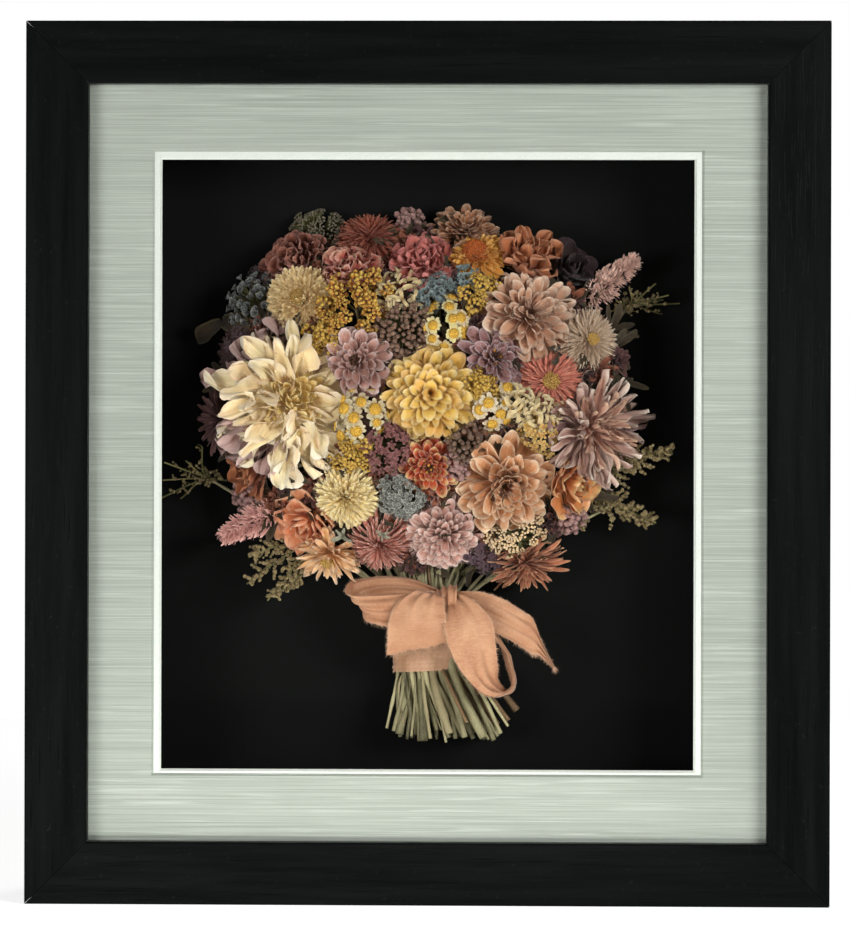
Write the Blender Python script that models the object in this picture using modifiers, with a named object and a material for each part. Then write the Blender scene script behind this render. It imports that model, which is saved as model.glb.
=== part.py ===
"""A dried bridal bouquet mounted in a deep black wooden shadow box, standing upright.

Metres, +Z up. The front of the box faces -Y, and the origin is the middle of its footprint.
Every flower is one solid with its own stem: the head is a ball of petal tips cut back where its
neighbours press on it, and the stem runs down through the ribbon to its cut end.
"""

import math
import random
from collections import namedtuple

import bmesh
import bpy
import numpy as np
from mathutils import Matrix, Vector
from mathutils.geometry import intersect_point_line

# The wooden moulding
FRAME_WIDTH = 0.527
FRAME_HEIGHT = 0.579
FRAME_DEPTH = 0.112
FACE_WIDTH = 0.041
LIP_COVER = 0.006
LIP_THICK = 0.010
EASED_EDGE = 0.0012
GAP = 0.0003

# The pane and the boards behind it
GLASS_THICK = 0.0023
MAT_THICK = 0.0015
SAGE_WINDOW = (0.3602, 0.4093)
WHITE_WINDOW = (0.3504, 0.4014)
WHITE_DROP = 0.0010
TRAY_WALL = 0.003
TRAY_DEPTH = 0.084
BACK_PANEL_THICK = 0.003

# The keyhole hangers in the backs of the stiles
HANGER_SIZE = (0.016, 0.046)
HANGER_THICK = 0.0016
HANGER_DROP = 0.090
HANGER_POCKET = 0.009
KEYHOLE_RADIUS = 0.0048
KEYHOLE_SLOT = 0.0024

# The bouquet: a shallow dome of heads over a waist where the stems are tied
DOME_MIDDLE = (-0.0015, 0.331)
DOME_HALF_WIDTH = 0.154
DOME_HALF_HEIGHT = 0.128
DOME_RIM_Y = 0.026
DOME_DEPTH = 0.061
DOME_LEAN = 0.85
CROWN_SHARE = 0.6
HEAD_GAP = 0.0005
BACK_Y = 0.0408
TIE_MIDDLE = (-0.002, 0.021)
TIE_LOW = 0.150
TIE_TOP = 0.186
TIE_PITCH = (0.0047, 0.0046)
TIE_ROWS = (3, 5, 6, 6, 7, 6, 6, 5, 3)
STEM_RADIUS = 0.0017
NECK_RADIUS = 0.0011
STEM_FLARE = 0.030
FORWARD_LATE = 3
STEM_CLEARANCE = 0.0040
CUT_HEIGHT = 0.108
CUT_SPREAD = (1.75, 1.15)
CUT_SHIFT = 0.016
WRAP_THICK = 0.0010
WRAP_HALF = (0.0226, 0.0166)

# The bow: each run of ribbon as (point on its middle line, half its width there, turned to face)
RIBBON_THICK = 0.0012
KNOT_MIDDLE = (0.012, -0.006, 0.199)
KNOT_HALF = (0.009, 0.007, 0.009)
LEFT_LOOP = (
    ((0.010, -0.008, 0.199), (0.000, 0.000, 0.007)),
    ((-0.012, -0.010, 0.202), (-0.002, 0.000, 0.012)),
    ((-0.033, -0.009, 0.198), (-0.004, 0.002, 0.015)),
    ((-0.044, -0.003, 0.195), (-0.004, 0.002, 0.014)),
    ((-0.033, 0.001, 0.196), (-0.003, 0.002, 0.013)),
    ((-0.012, -0.003, 0.200), (-0.001, 0.000, 0.010)),
    ((0.010, -0.004, 0.199), (0.000, 0.000, 0.006)),
)
FRONT_LOOP = (
    ((0.014, -0.010, 0.198), (0.004, 0.000, 0.006)),
    ((-0.004, -0.018, 0.192), (-0.006, -0.002, 0.014)),
    ((-0.018, -0.016, 0.182), (-0.010, -0.001, 0.014)),
    ((-0.023, -0.008, 0.174), (-0.010, 0.000, 0.012)),
    ((-0.012, -0.002, 0.182), (-0.008, 0.000, 0.012)),
    ((0.010, -0.005, 0.197), (-0.003, 0.000, 0.006)),
)
TAIL = (
    ((0.014, -0.007, 0.198), (0.002, 0.000, 0.007)),
    ((0.036, -0.009, 0.190), (0.005, 0.002, 0.013)),
    ((0.056, -0.008, 0.182), (0.005, 0.001, 0.010)),
    ((0.071, -0.007, 0.172), (0.004, 0.000, 0.006)),
    ((0.084, -0.006, 0.155), (0.001, 0.000, 0.001)),
)
DROP_LOOP = (
    ((0.016, -0.007, 0.1995), (0.0005, -0.003, 0.0005)),
    ((0.034, -0.010, 0.183), (0.003, -0.008, 0.002)),
    ((0.050, -0.010, 0.162), (0.002, -0.009, 0.002)),
    ((0.057, -0.009, 0.146), (0.002, -0.009, 0.000)),
    ((0.052, -0.007, 0.138), (0.001, -0.008, -0.001)),
    ((0.046, -0.006, 0.148), (0.001, -0.008, 0.000)),
    ((0.040, -0.006, 0.163), (0.001, -0.007, 0.001)),
    ((0.026, -0.006, 0.180), (0.001, -0.006, 0.001)),
    ((0.011, -0.006, 0.193), (0.0005, -0.003, 0.0005)),
)

# A kind of head: petals in a ring, rings from the crown back as (polar angle, reach), how far the
# hollows between petal tips are drawn in, and the height and back depth against the radius
Kind = namedtuple("Kind", "petals rings hollow height back")
LARGE = Kind(
    11,
    ((16, 0.8), (30, 1), (42, 0.78), (56, 1), (67, 0.78), (80, 1), (94, 0.8), (108, 1), (135, 0.8)),
    0.76,
    0.72,
    0.42,
)
MIDDLE = Kind(7, ((20, 0.8), (42, 1), (58, 0.76), (86, 1), (128, 0.8)), 0.76, 0.60, 0.40)
SMALL = Kind(6, ((26, 0.8), (52, 1), (86, 0.95), (126, 0.8)), 0.76, 0.66, 0.42)
RUFFLED = Kind(6, ((30, 1), (56, 0.76), (84, 1), (124, 0.82)), 0.76, 0.80, 0.45)
CLUSTER = Kind(5, ((30, 1), (60, 0.76), (92, 1), (128, 0.78)), 0.78, 0.72, 0.45)
PLUME = Kind(4, ((14, 1), (26, 0.72), (48, 1), (84, 0.74), (126, 1), (156, 0.72)), 0.70, 2.0, 1.2)

# A flower or sprig: the middle of its head across and up the picture, its radius, how far it is
# sunk below the dome, the way that it faces where that isn't plain outwards, and its colour
Flower = namedtuple("Flower", "name kind across up radius sunk facing colour")
FLOWERS = (
    Flower("cafe_au_lait_dahlia", LARGE, -0.097, 0.330, 0.0445, 0.000, (-0.1, 0.05), "D9C9A8"),
    Flower("yellow_dahlia", LARGE, 0.002, 0.336, 0.0320, 0.000, (0.05, 0.05), "D8B45A"),
    Flower("mauve_dahlia", LARGE, 0.113, 0.314, 0.0305, 0.002, (0.75, 0.1), "A8848C"),
    Flower("peach_zinnia", LARGE, 0.052, 0.273, 0.0320, 0.000, (0.15, -0.35), "C98E62"),
    Flower("blush_zinnia", MIDDLE, 0.068, 0.390, 0.0305, 0.002, None, "B98E80"),
    Flower("pink_zinnia", MIDDLE, -0.048, 0.357, 0.0245, 0.002, (-0.15, 0.15), "A9787A"),
    Flower("grey_mauve_zinnia", MIDDLE, 0.045, 0.360, 0.0225, 0.004, None, "8C6C6E"),
    Flower("pale_pink_zinnia", MIDDLE, 0.011, 0.240, 0.0260, 0.002, (0.05, -0.5), "C09CA0"),
    Flower("rose_aster", MIDDLE, 0.081, 0.344, 0.0235, 0.003, None, "A85860"),
    Flower("orange_red_zinnia", MIDDLE, 0.001, 0.287, 0.0210, 0.004, None, "A85030"),
    Flower("cream_pom", MIDDLE, -0.056, 0.265, 0.0210, 0.002, None, "D6C494"),
    Flower("gold_pom", MIDDLE, -0.086, 0.399, 0.0210, 0.002, None, "CBB078"),
    Flower("beige_pink_mum", MIDDLE, 0.108, 0.372, 0.0210, 0.002, (0.95, 0.2), "B39A82"),
    Flower("strawflower", MIDDLE, 0.031, 0.430, 0.0200, 0.002, (-0.2, 0.9), "B4662C"),
    Flower("salmon_carnation", RUFFLED, -0.090, 0.426, 0.0225, 0.003, None, "9C5A48"),
    Flower("coral_carnation", RUFFLED, -0.053, 0.419, 0.0200, 0.003, None, "B06A5A"),
    Flower("dusty_red_dahlia", MIDDLE, -0.040, 0.445, 0.0235, 0.003, (-0.1, 1.5), "8E4A46"),
    Flower("tan_pink_zinnia", MIDDLE, 0.024, 0.452, 0.0225, 0.003, (0.1, 1.6), "9A6A5C"),
    Flower("pink_cockscomb", RUFFLED, -0.004, 0.425, 0.0200, 0.002, None, "B8626A"),
    Flower("salmon_rose", RUFFLED, 0.066, 0.428, 0.0235, 0.002, (0.3, 1.0), "B4643E"),
    Flower("maroon_rose", RUFFLED, 0.095, 0.420, 0.0185, 0.004, None, "4A2226"),
    Flower("dark_mum", SMALL, -0.128, 0.366, 0.0195, 0.004, None, "3A2420"),
    Flower("maroon_dahlia", MIDDLE, -0.142, 0.318, 0.0190, -0.002, (-1.6, 0.0), "5E3238"),
    Flower("rust_rose", RUFFLED, -0.121, 0.284, 0.0175, 0.003, (-1.3, -0.3), "8C4A30"),
    Flower("peach_rose", RUFFLED, -0.083, 0.247, 0.0210, 0.002, None, "C47A52"),
    Flower("small_peach_dahlia", MIDDLE, -0.067, 0.226, 0.0210, -0.005, (-0.4, -1.2), "C07C60"),
    Flower("dusty_aster", MIDDLE, -0.033, 0.232, 0.0235, 0.003, (-0.2, -0.9), "8E4648"),
    Flower("ruffled_rose", RUFFLED, 0.098, 0.276, 0.0200, 0.002, (0.9, -0.4), "BC7250"),
    Flower("low_dahlia", MIDDLE, 0.066, 0.219, 0.0210, -0.009, (0.4, -1.6), "A05C4C"),
    Flower("right_plume", PLUME, 0.116, 0.408, 0.0120, 0.004, (2.2, 1.5), "A86A70"),
    Flower("left_plume", PLUME, -0.110, 0.254, 0.0135, 0.003, (-2.4, -1.0), "C48888"),
    Flower("goldenrod", CLUSTER, -0.051, 0.396, 0.0235, 0.003, None, "A8842E"),
    Flower("mauve_berries", CLUSTER, -0.017, 0.381, 0.0210, 0.004, None, "6E4C48"),
    Flower("top_feverfew", CLUSTER, 0.011, 0.385, 0.0170, 0.002, None, "D8C25A"),
    Flower("left_feverfew", CLUSTER, -0.049, 0.319, 0.0220, 0.003, None, "D8C45E"),
    Flower("right_feverfew", CLUSTER, 0.045, 0.330, 0.0180, 0.003, None, "D8C680"),
    Flower("mauve_yarrow", CLUSTER, -0.029, 0.299, 0.0195, 0.003, None, "805A58"),
    Flower("grey_berries", CLUSTER, 0.026, 0.301, 0.0155, 0.004, None, "6A5A4E"),
    Flower("gold_yarrow", CLUSTER, 0.076, 0.308, 0.0170, 0.004, None, "B4923C"),
    Flower("beige_lace", CLUSTER, 0.060, 0.241, 0.0195, 0.002, None, "A09072"),
    Flower("grey_lace", CLUSTER, -0.080, 0.450, 0.0180, 0.002, (-0.8, 1.3), "6C6658"),
    Flower("blue_statice", CLUSTER, -0.122, 0.399, 0.0180, 0.002, (-1.1, 0.7), "54606C"),
    Flower("blue_hydrangea", CLUSTER, -0.018, 0.266, 0.0155, 0.003, None, "7C8890"),
    Flower("upper_olive_sprig", PLUME, 0.134, 0.290, 0.0110, 0.002, (2.4, 0.9), "5E5428"),
    Flower("lower_olive_sprig", PLUME, 0.124, 0.262, 0.0110, 0.002, (2.6, -0.9), "5A5024"),
    Flower("left_tendril", PLUME, -0.150, 0.279, 0.0110, 0.000, (-3.0, 0.4), "4E4A30"),
    Flower("right_tendril", PLUME, 0.134, 0.396, 0.0110, 0.000, (2.6, 0.8), "4A4630"),
)

parts = bpy.data.collections.new("preserved_bouquet_shadow_box")
cutters = bpy.data.collections.new("cutters")


def clear_scene():
    for obj in list(bpy.data.objects):
        bpy.data.objects.remove(obj, do_unlink=True)
    bpy.context.scene.collection.children.link(parts)
    bpy.context.scene.collection.children.link(cutters)


def linear(code):
    """A colour written as six hex digits, as the linear values that a shader takes."""
    levels = [int(code[i : i + 2], 16) / 255 for i in (0, 2, 4)]
    return [v / 12.92 if v <= 0.04045 else ((v + 0.055) / 1.055) ** 2.4 for v in levels]


def finish(name, code, roughness, metallic=0.0, transmission=0.0):
    material = bpy.data.materials.new(name)
    material.use_nodes = True
    shader = material.node_tree.nodes["Principled BSDF"]
    shader.inputs["Base Color"].default_value = (*linear(code), 1)
    shader.inputs["Roughness"].default_value = roughness
    shader.inputs["Metallic"].default_value = metallic
    shader.inputs["Transmission Weight"].default_value = transmission
    return material


def new_object(name, bm, material=None, collection=parts):
    """The object that a finished bmesh makes, in its collection."""
    mesh = bpy.data.meshes.new(name)
    bmesh.ops.recalc_face_normals(bm, faces=bm.faces)
    bm.to_mesh(mesh)
    bm.free()
    obj = bpy.data.objects.new(name, mesh)
    collection.objects.link(obj)
    if material:
        mesh.materials.append(material)
    if collection is cutters:
        obj.hide_render = True
        obj.display_type = "WIRE"
    return obj


def smooth(obj, angle=50):
    obj.data.shade_smooth()
    obj.data.set_sharp_from_angle(angle=math.radians(angle))


def box(name, size, middle, material=None, collection=parts):
    bm = bmesh.new()
    bmesh.ops.create_cube(bm, size=1)
    bmesh.ops.scale(bm, vec=size, verts=bm.verts)
    bmesh.ops.translate(bm, vec=middle, verts=bm.verts)
    return new_object(name, bm, material, collection)


def boolean(obj, other, operation):
    modifier = obj.modifiers.new(operation.lower(), "BOOLEAN")
    modifier.operation = operation
    modifier.object = other


def mitred_rail(name, length, spin, material):
    """One length of moulding: its section swept along X, both ends cut at 45 degrees, then turned
    about the middle of the frame. The section is (in from the outer side, back from the face)."""
    rabbet = FACE_WIDTH - LIP_COVER
    section = (
        (0, EASED_EDGE),
        (EASED_EDGE, 0),
        (FACE_WIDTH - EASED_EDGE, 0),
        (FACE_WIDTH, EASED_EDGE),
        (FACE_WIDTH, LIP_THICK),
        (rabbet, LIP_THICK),
        (rabbet, FRAME_DEPTH),
        (0, FRAME_DEPTH),
    )
    height = FRAME_WIDTH if length == FRAME_HEIGHT else FRAME_HEIGHT
    bm = bmesh.new()
    end = [bm.verts.new((-length / 2, y - FRAME_DEPTH / 2, inward - height / 2)) for inward, y in section]
    face = bm.faces.new(end)
    grown = bmesh.ops.extrude_face_region(bm, geom=[face])
    far = [v for v in grown["geom"] if isinstance(v, bmesh.types.BMVert)]
    bmesh.ops.translate(bm, vec=(length, 0, 0), verts=far)
    for vert in bm.verts:
        cut = vert.co.z + height / 2 + GAP / 2
        vert.co.x -= math.copysign(cut, vert.co.x)
    bmesh.ops.rotate(bm, matrix=Matrix.Rotation(spin, 3, "Y"), verts=bm.verts)
    bmesh.ops.translate(bm, vec=(0, 0, FRAME_HEIGHT / 2), verts=bm.verts)
    return new_object(name, bm, material)


def window_board(name, front, window, drop, material):
    """A mat board with a window whose edges are bevelled at 45 degrees, wider at the front."""
    half_width = FRAME_WIDTH / 2 - FACE_WIDTH + LIP_COVER - GAP
    half_height = FRAME_HEIGHT / 2 - FACE_WIDTH + LIP_COVER - GAP
    bm = bmesh.new()
    outer = []
    inner = []
    for x, z in ((-1, -1), (1, -1), (1, 1), (-1, 1)):
        outer.append(bm.verts.new((x * half_width, 0, z * half_height)))
        inner.append(bm.verts.new((x * window[0] / 2, 0, z * window[1] / 2 - drop)))
    for i in range(4):
        j = (i + 1) % 4
        bm.faces.new((outer[i], outer[j], inner[j], inner[i]))
    grown = bmesh.ops.extrude_face_region(bm, geom=bm.faces[:])
    back = [v for v in grown["geom"] if isinstance(v, bmesh.types.BMVert)]
    bmesh.ops.translate(bm, vec=(0, MAT_THICK, 0), verts=back)
    for vert in inner:
        vert.co.x += math.copysign(MAT_THICK, vert.co.x)
        vert.co.z += math.copysign(MAT_THICK, vert.co.z + drop)
    bmesh.ops.translate(bm, vec=(0, front, FRAME_HEIGHT / 2), verts=bm.verts)
    return new_object(name, bm, material)


def liner_tray(front, material):
    """One sheet of suede board scored and folded into four walls and a back, open to the front."""
    width = FRAME_WIDTH - 2 * (FACE_WIDTH - LIP_COVER + GAP)
    height = FRAME_HEIGHT - 2 * (FACE_WIDTH - LIP_COVER + GAP)
    bm = bmesh.new()
    bmesh.ops.create_cube(bm, size=1)
    bmesh.ops.scale(bm, vec=(width, TRAY_DEPTH, height), verts=bm.verts)
    bmesh.ops.translate(bm, vec=(0, front + TRAY_DEPTH / 2, FRAME_HEIGHT / 2), verts=bm.verts)
    bm.faces.ensure_lookup_table()
    mouth = min(bm.faces, key=lambda f: f.calc_center_median().y)
    bmesh.ops.delete(bm, geom=[mouth], context="FACES_ONLY")
    obj = new_object("liner_tray", bm, material)
    shell = obj.modifiers.new("board", "SOLIDIFY")
    shell.thickness = TRAY_WALL
    shell.offset = -1
    shell.use_even_offset = True
    return obj


def keyhole_hanger(side, stile, material):
    """A steel plate let flush into the back of a stile, with a keyhole over a deeper pocket."""
    name = "left" if side < 0 else "right"
    middle = Vector((side * (FRAME_WIDTH - FACE_WIDTH + LIP_COVER) / 2, FRAME_DEPTH / 2, FRAME_HEIGHT - HANGER_DROP))
    width, height = HANGER_SIZE
    seat = box(
        f"{name}_hanger_seat",
        (width + 2 * GAP, 2 * (HANGER_THICK + GAP), height + 2 * GAP),
        middle,
        collection=cutters,
    )
    pocket = box(
        f"{name}_hanger_pocket", (width - 0.004, 2 * HANGER_POCKET, 0.024), middle, collection=cutters
    )
    boolean(stile, seat, "DIFFERENCE")
    boolean(stile, pocket, "DIFFERENCE")
    plate_middle = middle - Vector((0, HANGER_THICK / 2, 0))
    plate = box(f"{name}_keyhole_hanger", (width, HANGER_THICK, height), plate_middle, material)
    bm = bmesh.new()
    outline = []
    for step in range(13):
        angle = math.radians(120 + 300 * step / 12)
        outline.append((KEYHOLE_RADIUS * math.cos(angle), KEYHOLE_RADIUS * math.sin(angle) - 0.004))
    outline += [(KEYHOLE_SLOT, 0.006), (KEYHOLE_SLOT / 2, 0.008), (-KEYHOLE_SLOT / 2, 0.008), (-KEYHOLE_SLOT, 0.006)]
    face = bm.faces.new([bm.verts.new((x, -HANGER_THICK, z)) for x, z in outline])
    grown = bmesh.ops.extrude_face_region(bm, geom=[face])
    far = [v for v in grown["geom"] if isinstance(v, bmesh.types.BMVert)]
    bmesh.ops.translate(bm, vec=(0, 2 * HANGER_THICK, 0), verts=far)
    bmesh.ops.translate(bm, vec=plate_middle, verts=bm.verts)
    keyhole = new_object(f"{name}_keyhole", bm, collection=cutters)
    boolean(plate, keyhole, "DIFFERENCE")
    return plate


def box_and_frame():
    wood = finish("black_stained_wood", "141617", 0.42)
    mitred_rail("bottom_rail", FRAME_WIDTH, 0, wood)
    left = mitred_rail("left_stile", FRAME_HEIGHT, math.pi / 2, wood)
    mitred_rail("top_rail", FRAME_WIDTH, math.pi, wood)
    right = mitred_rail("right_stile", FRAME_HEIGHT, -math.pi / 2, wood)
    steel = finish("zinc_plated_steel", "B8B8B4", 0.35, metallic=1)
    keyhole_hanger(-1, left, steel)
    keyhole_hanger(1, right, steel)

    inner_width = FRAME_WIDTH - 2 * (FACE_WIDTH - LIP_COVER + GAP)
    inner_height = FRAME_HEIGHT - 2 * (FACE_WIDTH - LIP_COVER + GAP)
    y = LIP_THICK - FRAME_DEPTH / 2 + GAP
    box(
        "glass",
        (inner_width, GLASS_THICK, inner_height),
        (0, y + GLASS_THICK / 2, FRAME_HEIGHT / 2),
        finish("clear_glass", "F4F8F6", 0.02, transmission=1),
    )
    y += GLASS_THICK + GAP
    window_board("sage_mat", y, SAGE_WINDOW, 0, finish("sage_silk_board", "B7C2B2", 0.7))
    y += MAT_THICK + GAP
    window_board("white_mat", y, WHITE_WINDOW, WHITE_DROP, finish("white_board", "E6E8E2", 0.8))
    y += MAT_THICK + GAP
    liner_tray(y, finish("black_suede_board", "101112", 0.95))
    y += TRAY_DEPTH + GAP
    box(
        "back_panel",
        (inner_width, BACK_PANEL_THICK, inner_height),
        (0, y + BACK_PANEL_THICK / 2, FRAME_HEIGHT / 2),
        finish("hardboard", "6A4A30", 0.8),
    )


def settle(flower):
    """Where the flower's head sits: the middle of its mass, and the way that it faces."""
    dx = (flower.across - DOME_MIDDLE[0]) / DOME_HALF_WIDTH
    dz = (flower.up - DOME_MIDDLE[1]) / DOME_HALF_HEIGHT
    out = math.hypot(dx, dz)
    lean = flower.facing or (DOME_LEAN * dx, DOME_LEAN * dz)
    facing = Vector((lean[0], -1, lean[1])).normalized()
    y = DOME_RIM_Y - DOME_DEPTH * math.sqrt(max(0, 1 - out * out))
    crown = Vector((flower.across, y + flower.sunk, flower.up))
    if flower.kind is PLUME:
        return crown, facing
    return crown - CROWN_SHARE * facing * flower.radius * flower.kind.height, facing


def walls_between(heads, stems):
    """For each head, the planes that keep it off the backing, the pane, its neighbours and their
    stems. Two heads share the plane on which their balls are equally near, so both are pressed flat
    against it, and a head is hollowed behind where a neighbour's stem runs past."""
    glass_y = LIP_THICK - FRAME_DEPTH / 2 + GLASS_THICK + 0.002
    walls = [[(Vector((0, 1, 0)), BACK_Y), (Vector((0, -1, 0)), -glass_y)] for _ in heads]
    for i, (here, reach) in enumerate(heads):
        for j, (there, far_reach) in enumerate(heads):
            if i == j:
                continue
            apart = (there - here).length
            share = (apart**2 + reach**2 - far_reach**2) / (2 * apart)
            normal = (there - here) / apart
            walls[i].append((normal, normal.dot(here) + share - HEAD_GAP / 2))
            for start, end in zip(stems[j], stems[j][1:]):
                near, along = intersect_point_line(here, start, end)
                near = start.lerp(end, min(1, max(0, along)))
                normal = (near - here).normalized()
                walls[i].append((normal, normal.dot(near) - STEM_RADIUS - 2 * HEAD_GAP))
    return walls


def petal_head(flower, middle, facing, walls):
    """A ball of petal tips and hollows. Each point slides in towards the middle of the head until it
    is inside every wall, so that the head stays one closed body."""
    kind = flower.kind
    rings = len(kind.rings)
    bm = bmesh.new()
    bmesh.ops.create_uvsphere(bm, u_segments=2 * kind.petals, v_segments=rings + 1, radius=1)
    turn = facing.to_track_quat("Z", "Y").to_matrix()
    for vert in bm.verts:
        ring = round(math.acos(max(-1, min(1, vert.co.z))) / math.pi * (rings + 1)) - 1
        around = math.atan2(vert.co.y, vert.co.x)
        sector = round(around / math.pi * kind.petals)
        polar, reach = 0.0, 0.8
        if ring >= rings:
            polar, reach = math.pi, 1.0
        elif ring >= 0:
            polar, reach = math.radians(kind.rings[ring][0]), kind.rings[ring][1]
            if reach == 1 and (sector + ring // 2) % 2:
                reach = kind.hollow
        tall = kind.height if polar < math.pi / 2 else kind.back
        reach *= flower.radius / math.hypot(math.cos(polar) / tall, math.sin(polar))
        way = Vector((math.sin(polar) * math.cos(around), math.sin(polar) * math.sin(around), math.cos(polar)))
        way = turn @ way
        for normal, limit in walls:
            room = limit - normal.dot(middle)
            ahead = normal.dot(way)
            if ahead * reach > room:
                reach = room / ahead
        vert.co = middle + way * reach
    return new_object(flower.name, bm, finish(flower.name, flower.colour, 0.85))


def places_in_tie(heads):
    """Each stem's place where the bunch is tied. Stems keep the order of their heads, left to right
    and then front to back, so that hardly any crosses another."""

    def slope(i, axis):
        middle = heads[i][0]
        rise = middle.z - TIE_TOP
        return (middle[axis] - TIE_MIDDLE[axis]) * (rise + STEM_FLARE) / rise**2

    order = sorted(range(len(heads)), key=lambda i: slope(i, 0))
    places = [None] * len(heads)
    for column, rows in enumerate(TIE_ROWS):
        members = sorted(order[:rows], key=lambda i: slope(i, 1))
        order = order[rows:]
        across = (column - (len(TIE_ROWS) - 1) / 2) * TIE_PITCH[0]
        for row, i in enumerate(members):
            deep = (row - (len(members) - 1) / 2) * TIE_PITCH[1]
            places[i] = Vector((TIE_MIDDLE[0] + across, TIE_MIDDLE[1] + deep, 0))
    return places


def stem_line(middle, place, spread):
    """The points of a stem, from its cut end through the tie to inside its head. It runs up behind
    the lower heads, and only comes forward near its own."""
    tie = Vector((*TIE_MIDDLE, 0))
    cut = tie + (place - tie) * Vector((*CUT_SPREAD, 0)) + Vector((CUT_SHIFT, 0, CUT_HEIGHT + spread))
    points = [cut, place + Vector((0, 0, TIE_LOW)), place + Vector((0, 0, TIE_TOP))]
    rise = middle.z - TIE_TOP
    full = rise**2 / (rise + STEM_FLARE)
    for part in (0.45, 0.8, 1.0):
        up = part * rise
        share = up**2 / (up + STEM_FLARE) / full
        across = place.x + share * (middle.x - place.x)
        deep = place.y + share**FORWARD_LATE * (middle.y - place.y)
        points.append(Vector((across, deep, TIE_TOP + up)))
    return points


def untangled(heads, places):
    """The same places, with pairs of stems changed over until none comes too near another."""

    def crowding(order):
        samples = []
        for (middle, _), place in zip(heads, order):
            line = stem_line(middle, place, 0)[1:]
            for start, end in zip(line, line[1:]):
                samples += [start.lerp(end, k / 6) for k in range(6)]
        points = np.array(samples).reshape(len(heads), -1, 3)
        total = 0.0
        for i in range(len(heads) - 1):
            away = np.linalg.norm(points[i][None, :, None] - points[i + 1 :, None], axis=-1)
            near = away.min(axis=(1, 2))
            total += np.clip(STEM_CLEARANCE - near, 0, None).sum()
        return total

    best = crowding(places)
    for i in range(len(places)):
        for j in range(i + 1, len(places)):
            if (places[i] - places[j]).length > 2.3 * TIE_PITCH[0]:
                continue
            changed = list(places)
            changed[i], changed[j] = places[j], places[i]
            score = crowding(changed)
            if score < best - 1e-6:
                places, best = changed, score
    return places


def stem(name, points):
    """The stem's tube, thinner above the tie."""
    curve = bpy.data.curves.new(name, "CURVE")
    curve.dimensions = "3D"
    curve.bevel_depth = STEM_RADIUS
    curve.bevel_resolution = 0
    curve.use_fill_caps = True
    spline = curve.splines.new("POLY")
    spline.points.add(len(points) - 1)
    for k, (target, point) in enumerate(zip(spline.points, points)):
        target.co = (*point, 1)
        target.radius = 1 if k < 3 else NECK_RADIUS / STEM_RADIUS
    guide = bpy.data.objects.new(name, curve)
    cutters.objects.link(guide)
    graph = bpy.context.evaluated_depsgraph_get()
    mesh = bpy.data.meshes.new_from_object(guide.evaluated_get(graph))
    bpy.data.objects.remove(guide)
    bm = bmesh.new()
    bm.from_mesh(mesh)
    bmesh.ops.remove_doubles(bm, verts=bm.verts, dist=0.00001)
    return new_object(name, bm, collection=cutters)


def bouquet():
    seats = [settle(flower) for flower in FLOWERS]
    heads = [(middle, flower.radius) for (middle, _), flower in zip(seats, FLOWERS)]
    chance = random.Random(7)
    stems = []
    for (middle, _), place in zip(heads, untangled(heads, places_in_tie(heads))):
        stems.append(stem_line(middle, place, chance.uniform(-0.004, 0.004)))
    walls = walls_between(heads, stems)
    for flower, (middle, facing), planes, line in zip(FLOWERS, seats, walls, stems):
        head = petal_head(flower, middle, facing, planes)
        boolean(head, stem(f"{flower.name}_stem", line), "UNION")
        smooth(head)


def ribbon_run(name, line, silk=None, collection=cutters):
    """One run of ribbon, a strip across its line with the ribbon's thickness."""
    bm = bmesh.new()
    edges = []
    for middle, half in line:
        pair = [bm.verts.new(Vector(middle) + side * Vector(half)) for side in (-1, 1)]
        edges.append(pair)
    for (a, b), (c, d) in zip(edges, edges[1:]):
        bm.faces.new((a, b, d, c))
    obj = new_object(name, bm, silk, collection)
    shell = obj.modifiers.new("silk", "SOLIDIFY")
    shell.thickness = RIBBON_THICK
    shell.offset = 0
    return obj


def ribbon_bow(silk):
    """The knot, two loops to the left, the frayed tail and the hanging loop to the right."""
    bm = bmesh.new()
    bmesh.ops.create_uvsphere(bm, u_segments=10, v_segments=6, radius=1)
    bmesh.ops.scale(bm, vec=KNOT_HALF, verts=bm.verts)
    bmesh.ops.translate(bm, vec=KNOT_MIDDLE, verts=bm.verts)
    bow = new_object("ribbon_bow", bm, silk)
    runs = {"left_loop": LEFT_LOOP, "front_loop": FRONT_LOOP, "tail": TAIL, "drop_loop": DROP_LOOP}
    for name, line in runs.items():
        boolean(bow, ribbon_run(name, line), "UNION")
    return bow


def ribbon_wrap(silk):
    """The ribbon wound tight round the stems, as one sleeve."""
    bm = bmesh.new()
    bmesh.ops.create_cone(
        bm, cap_ends=False, segments=20, radius1=1, radius2=1, depth=TIE_TOP - TIE_LOW - 0.004
    )
    bmesh.ops.scale(bm, vec=(*WRAP_HALF, 1), verts=bm.verts)
    bmesh.ops.translate(bm, vec=(*TIE_MIDDLE, (TIE_TOP + TIE_LOW) / 2), verts=bm.verts)
    obj = new_object("ribbon_wrap", bm, silk)
    shell = obj.modifiers.new("silk", "SOLIDIFY")
    shell.thickness = WRAP_THICK
    shell.offset = 1
    smooth(obj)
    return obj


def main():
    clear_scene()
    box_and_frame()
    bouquet()
    silk = finish("peach_silk", "D6A884", 0.6)
    ribbon_wrap(silk)
    ribbon_bow(silk)


main()
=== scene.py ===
import math

import bpy
import numpy as np
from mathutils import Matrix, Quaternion, Vector


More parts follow.
